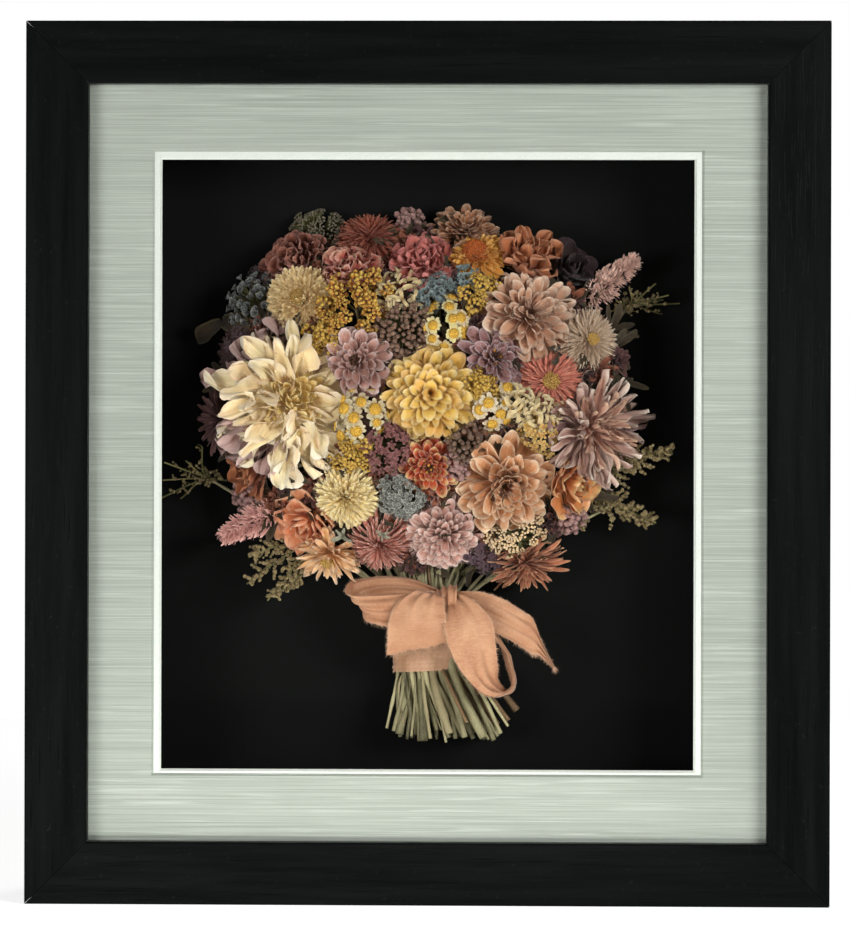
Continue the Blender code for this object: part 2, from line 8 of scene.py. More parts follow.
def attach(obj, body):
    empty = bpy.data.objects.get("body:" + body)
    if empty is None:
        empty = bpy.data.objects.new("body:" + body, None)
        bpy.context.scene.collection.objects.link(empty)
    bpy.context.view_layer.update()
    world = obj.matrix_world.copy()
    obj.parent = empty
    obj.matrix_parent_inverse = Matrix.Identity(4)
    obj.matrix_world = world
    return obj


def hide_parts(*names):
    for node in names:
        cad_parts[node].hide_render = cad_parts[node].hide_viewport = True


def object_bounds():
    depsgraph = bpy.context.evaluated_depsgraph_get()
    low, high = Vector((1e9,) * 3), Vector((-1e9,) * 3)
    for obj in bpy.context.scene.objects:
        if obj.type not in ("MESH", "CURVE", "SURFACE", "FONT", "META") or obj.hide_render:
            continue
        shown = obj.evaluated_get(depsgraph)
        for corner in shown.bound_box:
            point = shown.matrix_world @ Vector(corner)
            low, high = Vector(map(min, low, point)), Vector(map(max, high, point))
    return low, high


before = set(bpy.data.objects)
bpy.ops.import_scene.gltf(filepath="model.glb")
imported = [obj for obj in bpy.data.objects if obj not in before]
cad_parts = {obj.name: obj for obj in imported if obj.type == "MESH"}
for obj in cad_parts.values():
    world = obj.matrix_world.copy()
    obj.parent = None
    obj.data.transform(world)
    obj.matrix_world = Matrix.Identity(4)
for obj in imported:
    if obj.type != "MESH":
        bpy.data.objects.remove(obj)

# A dried bridal bouquet mounted in a deep black shadow box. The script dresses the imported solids:
# first the view and the studio, then the box from the outside in, then the bouquet and its ribbon.
cad_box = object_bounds()

# The camera. It stands far back with a long lens, level with the middle of the box and a little to
# the right, and is turned by a hair, as the photograph is. The picture is as wide as SEEN_WIDTH at the
# front of the box.
CAMERA_AWAY = 2.3
SEEN_WIDTH = 0.5557
AIM_ACROSS = -0.0013
AIM_UP = 0.2899
CAMERA_SWING = math.radians(1.1)
CAMERA_ROLL = math.radians(0.14)

camera_data = bpy.data.cameras.new("camera")
camera_data.lens = camera_data.sensor_width * CAMERA_AWAY / SEEN_WIDTH
camera_data.sensor_fit = "HORIZONTAL"
camera = bpy.data.objects.new("camera", camera_data)
bpy.context.scene.collection.objects.link(camera)
aim = Vector((AIM_ACROSS, cad_box[0][1], AIM_UP))
camera.location = aim + CAMERA_AWAY * Vector((math.sin(CAMERA_SWING), -math.cos(CAMERA_SWING), 0))
camera.rotation_mode = "QUATERNION"
camera.rotation_quaternion = (aim - camera.location).to_track_quat("-Z", "Y") @ Quaternion(
    (0, 0, 1), CAMERA_ROLL
)
bpy.context.scene.camera = camera
bpy.context.scene.view_settings.view_transform = "Standard"

# The studio. Two soft boxes stand low to the left and right of the camera, a strip lies on the floor
# in front of the box, a light stands behind it, and the room is dim, so that the pane stays clear.
SOFT_BOX_SIZE = (0.7, 0.44)
STRIP_SIZE = (0.45, 0.02)
BACK_LIGHT_SIZE = (1.2, 1.2)
LEFT_LIGHT = 11.5
RIGHT_LIGHT = 18.0
LOW_LIGHT = 0.5
BACK_LIGHT = 12
ROOM_GLOW = 0.045


def soft_box(name, place, size, power):
    """A soft light at a place, turned to the middle of the bouquet."""
    data = bpy.data.lights.new(name, "AREA")
    data.shape = "RECTANGLE"
    data.size, data.size_y = size
    data.energy = power
    light = bpy.data.objects.new(name, data)
    light.location = place
    light.rotation_mode = "QUATERNION"
    light.rotation_quaternion = (Vector((0, 0, AIM_UP)) - light.location).to_track_quat("-Z", "Y")
    bpy.context.scene.collection.objects.link(light)
    return light


soft_box("left_soft_box", (-0.95, -1.3, 0.24), SOFT_BOX_SIZE, LEFT_LIGHT)
soft_box("right_soft_box", (0.95, -1.25, 0.60), SOFT_BOX_SIZE, RIGHT_LIGHT)
low_light = soft_box("low_soft_box", (-0.02, -0.20, 0.008), STRIP_SIZE, LOW_LIGHT)
low_light.visible_glossy = False
low_light.visible_camera = False
soft_box("back_light", (0.8, 2.0, 1.6), BACK_LIGHT_SIZE, BACK_LIGHT)


# A number or colour that a node gives. It is used for the room here and for every finish below.
class Value:
    """One output of a node. Sums and products of values and numbers add Math nodes."""

    def __init__(self, tree, output=None):
        self.tree = tree
        self.output = output

    def node(self, kind, settings=None, sockets=None, output=0):
        """Any other node: its settings first, then the values or links of its sockets."""
        made = self.tree.nodes.new(kind)
        for name, setting in (settings or {}).items():
            setattr(made, name, setting)
        for name, value in (sockets or {}).items():
            if isinstance(value, Value):
                self.tree.links.new(value.output, made.inputs[name])
            else:
                made.inputs[name].default_value = value
        return Value(self.tree, made.outputs[output])

    def math(self, operation, *values):
        return self.node("ShaderNodeMath", {"operation": operation}, dict(enumerate(values)))

    def __add__(self, other):
        return self.math("ADD", self, other)

    def __sub__(self, other):
        return self.math("SUBTRACT", self, other)

    def __rsub__(self, other):
        return self.math("SUBTRACT", other, self)

    def __mul__(self, other):
        return self.math("MULTIPLY", self, other)

    __radd__ = __add__
    __rmul__ = __mul__

    def rise(self, low, high):
        """0 below low and 1 above high, with a slope between."""
        return self.node(
            "ShaderNodeMapRange", {"clamp": True}, {"Value": self, "From Min": low, "From Max": high}
        )

    def between(self, low, high):
        """The colour that this value picks between two others."""
        return self.node("ShaderNodeMix", {"data_type": "RGBA"}, {0: self, 6: low, 7: high}, 2)

    def times(self, scale):
        """This place, with each axis scaled."""
        return self.node("ShaderNodeVectorMath", {"operation": "MULTIPLY"}, {0: self, 1: scale})

    def noise(self, scale, detail=3.0, roughness=0.5):
        """Clouds of 0 to 1 over this place."""
        sockets = {"Vector": self, "Scale": scale, "Detail": detail, "Roughness": roughness}
        return self.node("ShaderNodeTexNoise", None, sockets)

    def bump(self, distance, strength):
        """The surface's direction where this value raises it by a distance."""
        return self.node(
            "ShaderNodeBump", None, {"Height": self, "Distance": distance, "Strength": strength}
        )


room = bpy.data.worlds.new("studio")
room.use_nodes = True
bpy.context.scene.world = room
to_camera = Value(room.node_tree).node("ShaderNodeLightPath", output="Is Camera Ray")
backdrop = room.node_tree.nodes["Background"]
backdrop.inputs["Color"].default_value = (1, 1, 1, 1)
room.node_tree.links.new((to_camera * (1.0 - ROOM_GLOW) + ROOM_GLOW).output, backdrop.inputs["Strength"])


def paint(code):
    """A colour written as six hex digits, as the linear values that a shader takes."""
    levels = [int(code[i : i + 2], 16) / 255 for i in (0, 2, 4)]
    return (*[v / 12.92 if v <= 0.04045 else ((v + 0.055) / 1.055) ** 2.4 for v in levels], 1)


def new_finish(name):
    """A new material, and each point's place on the piece in metres."""
    material = bpy.data.materials.new(name)
    material.use_nodes = True
    return material, Value(material.node_tree).node("ShaderNodeTexCoord", output="Object")


def lay(material, sockets):
    """Sets or links the sockets of the material's shader."""
    shader = material.node_tree.nodes["Principled BSDF"]
    for name, value in sockets.items():
        if isinstance(value, Value):
            material.node_tree.links.new(value.output, shader.inputs[name])
        else:
            shader.inputs[name].default_value = value
    return material


def dress(node, material):
    """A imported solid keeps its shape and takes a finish."""
    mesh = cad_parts[node].data
    mesh.materials.clear()
    mesh.materials.append(material)


# The floor: a pale matt sheet that the box stands on, lit from below as on a light table. It belongs to
# the picture and not to the part.
FLOOR_REACH = 1.6
FLOOR_DROP = 0.0004
FLOOR_GLOW = 0.78
floor_mesh = bpy.data.meshes.new("floor")
corners = [(x * FLOOR_REACH, y * FLOOR_REACH, -FLOOR_DROP) for x, y in ((-1, -1), (1, -1), (1, 1), (-1, 1))]
floor_mesh.from_pydata(corners, [], [(0, 1, 2, 3)])
floor = bpy.data.objects.new("floor", floor_mesh)
bpy.context.scene.collection.objects.link(floor)
floor_paper, place = new_finish("floor_paper")
floor_tone = place.noise(3.0).between(paint("F6F6F5"), paint("FFFFFF"))
floor_look = {"Base Color": floor_tone, "Roughness": 0.9}
floor_look |= {"Emission Color": (1, 1, 1, 1), "Emission Strength": FLOOR_GLOW}
floor_mesh.materials.append(lay(floor_paper, floor_look))
floor.visible_glossy = False

# The moulding: four lengths of close-grained wood, stained black and rubbed to a satin, mitred and
# glued at the corners. The grain runs along each length.
WOOD_DARK = paint("070908")
WOOD_LIGHT = paint("111312")
WOOD_PORE = paint("060707")


def black_wood(name, along):
    """Satin black stain over wood whose grain runs along X (0) or Z (2)."""
    material, place = new_finish(name)
    stretch = [90, 90, 90]
    stretch[along] = 5
    grain = place.times(stretch).noise(1.0, 5, 0.6)
    stretch = [900, 900, 900]
    stretch[along] = 28
    pores = place.times(stretch).noise(1.0, 2).rise(0.60, 0.72)
    dust = place.noise(420, 2).rise(0.66, 0.80)
    colour = grain.rise(0.3, 0.75).between(WOOD_DARK, WOOD_LIGHT)
    colour = pores.between(colour, WOOD_PORE)
    colour = (dust * 0.10).between(colour, paint("4A4A48"))
    return lay(
        material,
        {
            "Base Color": colour,
            "Roughness": grain * 0.10 + pores * 0.2 + 0.26,
            "Normal": (grain * 0.5 - pores).bump(0.00008, 0.7),
            "Specular IOR Level": 0.03,
        },
    )


rail_wood = black_wood("black_wood_rails", 0)
stile_wood = black_wood("black_wood_stiles", 2)
dress("bottom_rail", rail_wood)
dress("top_rail", rail_wood)
dress("left_stile", stile_wood)
dress("right_stile", stile_wood)

# The pane: thin clear picture glass, held behind the lip. Light passes straight through it. A thin
# coating takes most of its gloss, which grows only in a slanting view.
GLASS_GLOSS = 0.08


def clear_glass():
    """Nearly clear from the front, with a soft gloss that grows towards the edge."""
    material = bpy.data.materials.new("clear_glass")
    material.use_nodes = True
    tree = material.node_tree
    tree.nodes.remove(tree.nodes["Principled BSDF"])
    start = Value(tree)
    clear = start.node("ShaderNodeBsdfTransparent", None, {"Color": (0.975, 0.985, 0.98, 1)})
    gloss = start.node("ShaderNodeBsdfGlossy", None, {"Color": (1, 1, 1, 1), "Roughness": 0.12})
    edge_on = start.node("ShaderNodeFresnel", None, {"IOR": 1.45})
    both = start.node("ShaderNodeMixShader", None, {0: edge_on * GLASS_GLOSS, 1: clear, 2: gloss})
    tree.links.new(both.output, tree.nodes["Material Output"].inputs["Surface"])
    return material


dress("glass", clear_glass())

# The two mat boards: sage silk wrapped round the wide outer board, whose weft is full of long
# slubs, and a plain white board that shows a narrow band inside it. Both windows are bevelled.
SILK_LIGHT = paint("A7AAA1")
SILK_DARK = paint("888D83")
SILK_SLUB = paint("B3B7AE")


def sage_silk():
    """A woven silk with long pale slubs along X."""
    material, place = new_finish("sage_silk")
    weft = place.times((9, 9, 1500)).noise(1.0, 3, 0.55)
    slubs = place.times((16, 16, 520)).noise(1.0, 2).rise(0.56, 0.74)
    warp = place.times((2200, 60, 60)).noise(1.0, 1)
    cloud = place.noise(7.0, 2)
    colour = (weft * 0.75 + cloud * 0.25).rise(0.32, 0.68).between(SILK_DARK, SILK_LIGHT)
    colour = (slubs * 0.6).between(colour, SILK_SLUB)
    sockets = {
        "Base Color": colour,
        "Roughness": weft * 0.25 + 0.42,
        "Normal": (weft + warp * 0.25 + slubs * 0.6).bump(0.00009, 0.8),
        "Sheen Weight": 0.25,
        "Sheen Roughness": 0.35,
    }
    return lay(material, sockets)


def white_board():
    """Plain mat board with a fine tooth."""
    material, place = new_finish("white_board")
    tooth = place.noise(1400, 2)
    colour = tooth.rise(0.3, 0.7).between(paint("C6C8C0"), paint("D6D7D0"))
    return lay(material, {"Base Color": colour, "Roughness": 0.85, "Normal": tooth.bump(0.00004, 0.6)})


dress("sage_mat", sage_silk())
dress("white_mat", white_board())

# The tray behind the mats: one sheet of board covered in black suede, scored and folded, with its
# nap brushed here and there.
suede, place = new_finish("black_suede")
nap = place.noise(2600, 2, 0.7)
brushed = place.times((14, 14, 9)).noise(1.0, 2)
suede_colour = (nap * 0.6 + brushed * 0.4).rise(0.35, 0.7).between(paint("070807"), paint("0F100E"))
lay(
    suede,
    {
        "Base Color": suede_colour,
        "Roughness": 0.95,
        "Normal": nap.bump(0.0002, 0.8),
        "Specular IOR Level": 0.2,
    },
)
dress("liner_tray", suede)

# The back: a sheet of hardboard in the rabbet, and a zinc-plated steel hanger let into each stile. The
# box hangs by the keyholes in the hangers, on two screw heads.
HARDBOARD_DARK = paint("5A3C24")
HARDBOARD_LIGHT = paint("87613E")
hardboard, place = new_finish("hardboard")
fibres = place.times((260, 260, 90)).noise(1.0, 4, 0.7)
specks = place.noise(900, 2).rise(0.66, 0.74)
colour = fibres.rise(0.3, 0.7).between(HARDBOARD_DARK, HARDBOARD_LIGHT)
lay(
    hardboard,
    {
        "Base Color": (specks * 0.7).between(colour, paint("3A2414")),
        "Roughness": fibres * 0.3 + 0.55,
        "Normal": fibres.bump(0.00012, 0.8),
    },
)
dress("back_panel", hardboard)

steel, place = new_finish("zinc_steel")
spangle = place.node("ShaderNodeTexVoronoi", None, {"Vector": place, "Scale": 300}, "Color")
brushing = place.times((3000, 300, 120)).noise(1.0, 2)
lay(
    steel,
    {
        "Base Color": brushing.between(paint("A9AAA6"), paint("CDCEC8")),
        "Metallic": 1.0,
        "Roughness": spangle * 0.15 + brushing * 0.2 + 0.22,
        "Normal": brushing.bump(0.00003, 0.5),
    },
)
dress("left_keyhole_hanger", steel)
dress("right_keyhole_hanger", steel)

# The framer's points: thin steel darts, driven into the wood all round, that hold the back panel in.
# The half of each that lies on the panel is drawn.
POINT_WIDTH = 0.010
POINT_REACH = 0.009
POINT_LIFT = 0.0001
POINT_THICK = 0.0007
POINT_SPOTS = (-0.72, -0.24, 0.24, 0.72)
DART = ((-0.5, 0.0), (0.5, 0.0), (0.36, 0.55), (0.0, 1.0), (-0.36, 0.55))
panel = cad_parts["back_panel"]
panel_corners = np.array([panel.matrix_world @ vertex.co for vertex in panel.data.vertices])
panel_middle = (panel_corners.min(0) + panel_corners.max(0)) / 2
panel_half = (panel_corners.max(0) - panel_corners.min(0)) / 2
places, faces = [], []
for side in range(4):
    along = np.array((math.cos(side * math.pi / 2), 0.0, math.sin(side * math.pi / 2)))
    inward = np.array((-along[2], 0.0, along[0]))
    edge = panel_middle - np.abs(inward) @ panel_half * inward + (0.0, panel_half[1], 0.0)
    for spot in POINT_SPOTS:
        start = edge + spot * (np.abs(along) @ panel_half) * along
        first, sides = len(places), len(DART)
        second = first + sides
        for rise in (POINT_LIFT, POINT_THICK):
            for a, b in DART:
                places.append(start + POINT_WIDTH * a * along + POINT_REACH * b * inward + (0, rise, 0))
        faces += [tuple(range(first, second)), tuple(range(second + sides - 1, second - 1, -1))]
        for k in range(sides):
            after = (k + 1) % sides
            faces.append((first + k, second + k, second + after, first + after))
points_mesh = bpy.data.meshes.new("framers_points")
points_mesh.from_pydata([tuple(place) for place in places], [], faces)
points_mesh.materials.append(steel)
framers_points = bpy.data.objects.new("framers_points", points_mesh)
bpy.context.scene.collection.objects.link(framers_points)
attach(framers_points, "root")

# The bouquet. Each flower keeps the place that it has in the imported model: its kind, its head's middle
# across and up, its radius, how far it is sunk below the dome, and its lean where that isn't plain
# outwards. The heads are packed so close that their petals lie flat against their neighbours'.
DOME_MIDDLE = (-0.0015, 0.331)
DOME_HALF_WIDTH = 0.154
DOME_HALF_HEIGHT = 0.128
DOME_RIM_Y = 0.026
DOME_DEPTH = 0.061
DOME_LEAN = 0.85
CROWN_SHARE = 0.6
FULLER = 1.14
PANE_CLEAR_Y = -0.0420
BACK_CLEAR_Y = 0.0408
DEPTH_IN_RADII = {"large": 0.72, "middle": 0.60, "small": 0.66, "ruffled": 0.80, "cluster": 0.72}
HEADS = {
    "cafe_au_lait_dahlia": ("large", -0.0880, 0.333, 0.0445, 0.000, (0.30, 0.10)),
    "yellow_dahlia": ("large", 0.002, 0.336, 0.0320, 0.000, (0.05, 0.05)),
    "mauve_dahlia": ("large", 0.113, 0.314, 0.0305, 0.002, (0.75, 0.1)),
    "peach_zinnia": ("large", 0.052, 0.273, 0.0320, 0.000, (0.15, -0.35)),
    "blush_zinnia": ("middle", 0.068, 0.390, 0.0305, 0.002, None),
    "pink_zinnia": ("middle", -0.048, 0.357, 0.0245, 0.002, (-0.15, 0.15)),
    "grey_mauve_zinnia": ("middle", 0.045, 0.360, 0.0225, 0.004, None),
    "pale_pink_zinnia": ("middle", 0.011, 0.240, 0.0260, 0.002, (0.05, -0.5)),
    "rose_aster": ("middle", 0.081, 0.344, 0.0235, 0.003, (0.15, 0.05)),
    "orange_red_zinnia": ("middle", 0.001, 0.287, 0.0210, 0.004, None),
    "cream_pom": ("middle", -0.056, 0.265, 0.0210, 0.002, None),
    "gold_pom": ("middle", -0.086, 0.399, 0.0210, 0.002, (-0.15, 0.1)),
    "beige_pink_mum": ("middle", 0.108, 0.372, 0.0210, 0.002, (0.45, 0.1)),
    "strawflower": ("middle", 0.031, 0.430, 0.0200, 0.002, (-0.2, 0.9)),
    "salmon_carnation": ("ruffled", -0.090, 0.426, 0.0225, 0.003, None),
    "coral_carnation": ("ruffled", -0.053, 0.419, 0.0200, 0.003, None),
    "dusty_red_dahlia": ("middle", -0.040, 0.445, 0.0235, 0.003, (-0.1, 1.5)),
    "tan_pink_zinnia": ("middle", 0.024, 0.447, 0.0205, 0.003, (0.2, 1.1)),
    "pink_cockscomb": ("ruffled", -0.004, 0.425, 0.0200, 0.002, None),
    "salmon_rose": ("ruffled", 0.066, 0.428, 0.0235, 0.002, (0.3, 1.0)),
    "maroon_rose": ("ruffled", 0.095, 0.420, 0.0185, 0.004, None),
    "dark_mum": ("small", -0.128, 0.366, 0.0195, 0.004, None),
    "maroon_dahlia": ("middle", -0.142, 0.318, 0.0190, -0.002, (-1.6, 0.0)),
    "rust_rose": ("ruffled", -0.121, 0.284, 0.0175, 0.003, (-1.3, -0.3)),
    "peach_rose": ("ruffled", -0.083, 0.247, 0.0210, 0.002, None),
    "small_peach_dahlia": ("middle", -0.067, 0.226, 0.0210, -0.005, (-0.4, -1.2)),
    "dusty_aster": ("middle", -0.033, 0.232, 0.0235, 0.003, (-0.2, -0.9)),
    "ruffled_rose": ("ruffled", 0.098, 0.276, 0.0200, 0.002, (0.9, -0.4)),
    "low_dahlia": ("middle", 0.066, 0.219, 0.0210, -0.009, (0.4, -1.6)),
    "right_plume": ("plume", 0.116, 0.408, 0.0120, 0.004, (2.2, 1.5)),
    "left_plume": ("plume", -0.110, 0.254, 0.0135, 0.003, (-2.4, -1.0)),
    "goldenrod": ("cluster", -0.051, 0.396, 0.0235, 0.003, None),
    "mauve_berries": ("cluster", -0.017, 0.381, 0.0210, 0.004, None),
    "top_feverfew": ("cluster", 0.011, 0.385, 0.0170, 0.002, None),
    "left_feverfew": ("cluster", -0.049, 0.319, 0.0220, 0.003, None),
    "right_feverfew": ("cluster", 0.045, 0.330, 0.0180, 0.003, None),
    "mauve_yarrow": ("cluster", -0.029, 0.299, 0.0195, 0.003, None),
    "grey_berries": ("cluster", 0.026, 0.301, 0.0155, 0.004, None),
    "gold_yarrow": ("cluster", 0.076, 0.308, 0.0170, 0.004, None),
    "beige_lace": ("cluster", 0.060, 0.241, 0.0195, 0.002, None),
    "grey_lace": ("cluster", -0.080, 0.450, 0.0180, 0.002, (-0.8, 1.3)),
    "blue_statice": ("cluster", -0.122, 0.399, 0.0180, 0.002, (-1.1, 0.7)),
    "blue_hydrangea": ("cluster", -0.018, 0.266, 0.0155, 0.003, None),
    "upper_olive_sprig": ("plume", 0.134, 0.290, 0.0110, 0.002, (2.4, 0.9)),
    "lower_olive_sprig": ("plume", 0.124, 0.262, 0.0110, 0.002, (2.6, -0.9)),
    "left_tendril": ("plume", -0.150, 0.279, 0.0110, 0.000, (-3.0, 0.4)),
    "right_tendril": ("plume", 0.134, 0.396, 0.0110, 0.000, (2.6, 0.8)),
}


def on_dome(across, up, sunk):
    """The point on the dome of heads at a place across and up, and the dome's outward lean there."""
    dx = (across - DOME_MIDDLE[0]) / DOME_HALF_WIDTH
    dz = (up - DOME_MIDDLE[1]) / DOME_HALF_HEIGHT
    deep = DOME_RIM_Y - DOME_DEPTH * math.sqrt(max(0.0, 1 - dx * dx - dz * dz))
    return np.array((across, deep + sunk, up)), (DOME_LEAN * dx, DOME_LEAN * dz)


def turned(facing, spin=0.0):
    """The rotation that stands +Z along facing."""
    across = np.cross((0.0, 0.0, 1.0), facing)
    across = across / np.linalg.norm(across) if np.linalg.norm(across) > 1e-6 else np.array((1.0, 0, 0))
    over = np.cross(facing, across)
    first = math.cos(spin) * across + math.sin(spin) * over
    second = math.cos(spin) * over - math.sin(spin) * across
    return np.column_stack((first, second, facing))


seats = {}
for name, (kind, across, up, radius, sunk, lean) in HEADS.items():
    crown, outward = on_dome(across, up, sunk)
    facing = np.array(((lean or outward)[0], -1.0, (lean or outward)[1]))
    facing /= np.linalg.norm(facing)
    middle = crown if kind == "plume" else crown - CROWN_SHARE * radius * DEPTH_IN_RADII[kind] * facing
    seats[name] = (middle, facing, radius if kind == "plume" else FULLER * radius)


NEAR_HEADS = 2.2
PUSHED_BACK = 0.88
RISEN = 0.30
MOST_RISEN = 0.0022
PANE_EASE = 0.003


def pressed(name, points, proud):
    """The points of a head, slid back where they would run into a neighbouring head, the pane or the
    backing. A petal that is pushed back also rises, so that it lies over its neighbour's edge. proud
    is how far the head's petals may reach over the plane between it and its neighbour."""
    here, facing, radius = seats[name]
    shape = points.shape
    points = points.reshape(-1, 3).copy()
    for other, (there, _, far_radius) in seats.items():
        apart = np.linalg.norm(there - here)
        if other == name or apart > NEAR_HEADS * (radius + far_radius):
            continue
        normal = (there - here) / apart
        limit = normal @ here + (apart**2 + radius**2 - far_radius**2) / (2 * apart) + proud
        over = np.maximum(points @ normal - limit, 0)
        points -= np.outer(over * PUSHED_BACK, normal)
        points += np.outer(np.minimum(over * RISEN, MOST_RISEN), facing)
    front = np.maximum(PANE_CLEAR_Y + PANE_EASE - points[:, 1], 0)
    points[:, 1] += front - PANE_EASE * (1 - np.exp(-front / PANE_EASE))
    points[:, 1] = np.minimum(points[:, 1], BACK_CLEAR_Y)
    return points.reshape(shape)


# What grows: petals, florets and stems are thin sheets, drawn as grids of points. Each point also
# notes how far along and across its petal it is, and a number that is the petal's own, so that the
# finish can shade every petal from its foot to its tip.
class Growth:
    """Sheets that are gathered into one piece."""

    def __init__(self):
        self.sheets = []

    def add(self, points, finish, own=None, chance=None):
        """A block of like sheets, (sheets, rows, columns, 3), with each sheet's own number or a draw."""
        own = chance.random(len(points)) if own is None else own
        self.sheets.append((points, finish, own))

    def moved(self, turn, shift):
        """Turns and then shifts every sheet."""
        for k, (points, finish, own) in enumerate(self.sheets):
            self.sheets[k] = (points @ turn.T + shift, finish, own)

    def piece(self, name, finishes):
        """The mesh object, with its notes on each point."""
        places, quads, slots, notes = [], [], [], []
        start = 0
        for points, finish, own in self.sheets:
            count, rows, cols = points.shape[:3]
            grid = np.arange(count * rows * cols).reshape(count, rows, cols) + start
            corners = (grid[:, :-1, :-1], grid[:, 1:, :-1], grid[:, 1:, 1:], grid[:, :-1, 1:])
            quads.append(np.stack(corners, -1).reshape(-1, 4))
            slots.append(np.full(len(quads[-1]), finish))
            along = np.broadcast_to(np.linspace(0, 1, rows)[None, :, None], grid.shape)
            across = np.broadcast_to(np.linspace(-1, 1, cols)[None, None, :], grid.shape)
            whose = np.broadcast_to(own[:, None, None], grid.shape)
            notes.append(np.stack((along, across, whose), -1).reshape(-1, 3))
            places.append(points.reshape(-1, 3))
            start += count * rows * cols
        mesh = bpy.data.meshes.new(name)
        mesh.from_pydata(np.concatenate(places).tolist(), [], np.concatenate(quads).tolist())
        for k, note in enumerate(("along", "across", "own")):
            layer = mesh.attributes.new(note, "FLOAT", "POINT")
            layer.data.foreach_set("value", np.concatenate(notes)[:, k].astype(np.float32))
        for finish in finishes:
            mesh.materials.append(finish)
        mesh.polygons.foreach_set("material_index", np.concatenate(slots).astype(np.int32))
        mesh.shade_smooth()
        obj = bpy.data.objects.new(name, mesh)
        bpy.context.scene.collection.objects.link(obj)
        return obj


BLUNT_END = 0.992
FLATTEST_FOLD = 0.05


def petals(
    chance, count, length, width, lift, curl, foot=(0.0, 0.0), form=(0.4, 1.0, 4.0), roll=0.5,
    twist=0.0, ripple=0.0, crumple=0.03, spread=0.1, turn=0.0, grid=(9, 5),
):
    """A ring of petals about Z. Each starts at the foot, (out, up), at an angle of lift over the
    ring's plane, and curls down by curl on its way out. form is its width at the foot, how soon it
    widens and how blunt its tip is. roll folds it along its middle, as a trough is, twist turns it
    about its length, ripple waves its edges, crumple dents it, and spread makes the petals unlike."""
    rows, cols = grid
    t = np.sin(np.linspace(0, 0.5 * math.pi, rows))
    s = np.linspace(-1, 1, cols)

    def vary(value, share):
        return value * (1 + share * chance.uniform(-1, 1, (count, 1)))

    # Its way out and up.
    around = turn + (np.arange(count) + chance.uniform(-spread, spread, count) * 3) * math.tau / count
    angle = lift + spread * chance.uniform(-1, 1, (count, 1)) - vary(curl, 0.35) * t**1.6
    bends, phase = chance.uniform(4, 9, (count, 1)), chance.uniform(0, 6, (count, 1))
    angle += 0.5 * crumple * np.sin(t * bends + phase)
    step = vary(length, 1.2 * spread) * np.diff(t)
    middle_angle = (angle[:, 1:] + angle[:, :-1]) / 2
    out = foot[0] + np.concatenate((np.zeros((count, 1)), np.cumsum(np.cos(middle_angle) * step, 1)), 1)
    up = foot[1] + np.concatenate((np.zeros((count, 1)), np.cumsum(np.sin(middle_angle) * step, 1)), 1)
    aside = chance.uniform(-1, 1, (count, 1)) * spread * length * t**2
    # Its width, and the fold along its middle.
    base, rise, blunt = form
    tip = np.sqrt(1 - np.minimum(t, BLUNT_END) ** blunt)
    half = vary(width, 0.2) / 2 * (base + (1 - base) * t**rise) * tip
    fold = np.maximum(np.abs(vary(roll, 0.4)), FLATTEST_FOLD)[:, :, None]
    lateral = half[:, :, None] * np.sin(s * fold) / fold
    normal = half[:, :, None] * (1 - np.cos(s * fold)) / fold * np.sign(roll or 1)
    # Its rippled edges, its dents and its twist.
    waves, phase = chance.uniform(7, 13, (count, 1, 1)), chance.uniform(0, 6, (count, 1, 1))
    normal = normal + ripple * half[:, :, None] * s**2 * np.sin(waves * t[None, :, None] + phase + 2 * s)
    dents = np.sin(5 * t[None, :, None] + 3 * s + chance.uniform(0, 6, (count, 1, 1)))
    dents = dents * np.sin(2.3 * s - 6 * t[None, :, None] + chance.uniform(0, 6, (count, 1, 1)))
    normal = normal + crumple * length * 0.6 * dents * t[None, :, None]
    spin = (chance.uniform(-1, 1, (count, 1)) * twist * t)[:, :, None]
    flat, fold_up = lateral, normal
    lateral = flat * np.cos(spin) - fold_up * np.sin(spin)
    normal = flat * np.sin(spin) + fold_up * np.cos(spin)
    # Its place in the ring.
    cos, sin = np.cos(angle)[:, :, None], np.sin(angle)[:, :, None]
    x = out[:, :, None] - sin * normal
    y = aside[:, :, None] + lateral
    z = up[:, :, None] + cos * normal
    c, d = np.cos(around)[:, None, None], np.sin(around)[:, None, None]
    return np.stack((c * x - d * y, d * x + c * y, z), -1)


def tubes(lines, radii, sides=6):
    """Closed tubes along lines of points, (tubes, rows, 3), with a radius at each row."""
    ahead = np.gradient(lines, axis=1)
    ahead /= np.maximum(np.linalg.norm(ahead, axis=-1, keepdims=True), 1e-9)
    across = np.cross(ahead, (0.31, 0.89, 0.33))
    across /= np.linalg.norm(across, axis=-1, keepdims=True)
    over = np.cross(ahead, across)
    around = np.linspace(0, math.tau, sides + 1)
    ring = np.cos(around)[:, None] * across[:, :, None] + np.sin(around)[:, None] * over[:, :, None]
    return lines[:, :, None] + ring * radii[..., None, None]


def planted(sheets, places, facings, sizes, spins):
    """Copies of one floret's sheets, each set at a place, facing its own way."""
    block = []
    for place, facing, size, spin in zip(places, facings, sizes, spins):
        block.append(sheets @ (turned(facing, spin) * size).T + place)
    return np.concatenate(block)


def smooth_line(points, rows):
    """A line through the points without corners, at evenly numbered steps."""
    points = np.asarray(points, float)
    ends = np.concatenate((2 * points[:1] - points[1:2], points, 2 * points[-1:] - points[-2:-1]))
    out = []
    for k in np.linspace(0, len(points) - 1 - 1e-9, rows):
        i, f = int(k), k - int(k)
        a, b, c, d = ends[i : i + 4]
        bow, swing = 2 * a - 5 * b + 4 * c - d, 3 * b - a - 3 * c + d
        out.append(0.5 * (2 * b + (c - a) * f + bow * f**2 + swing * f**3))
    return np.array(out)


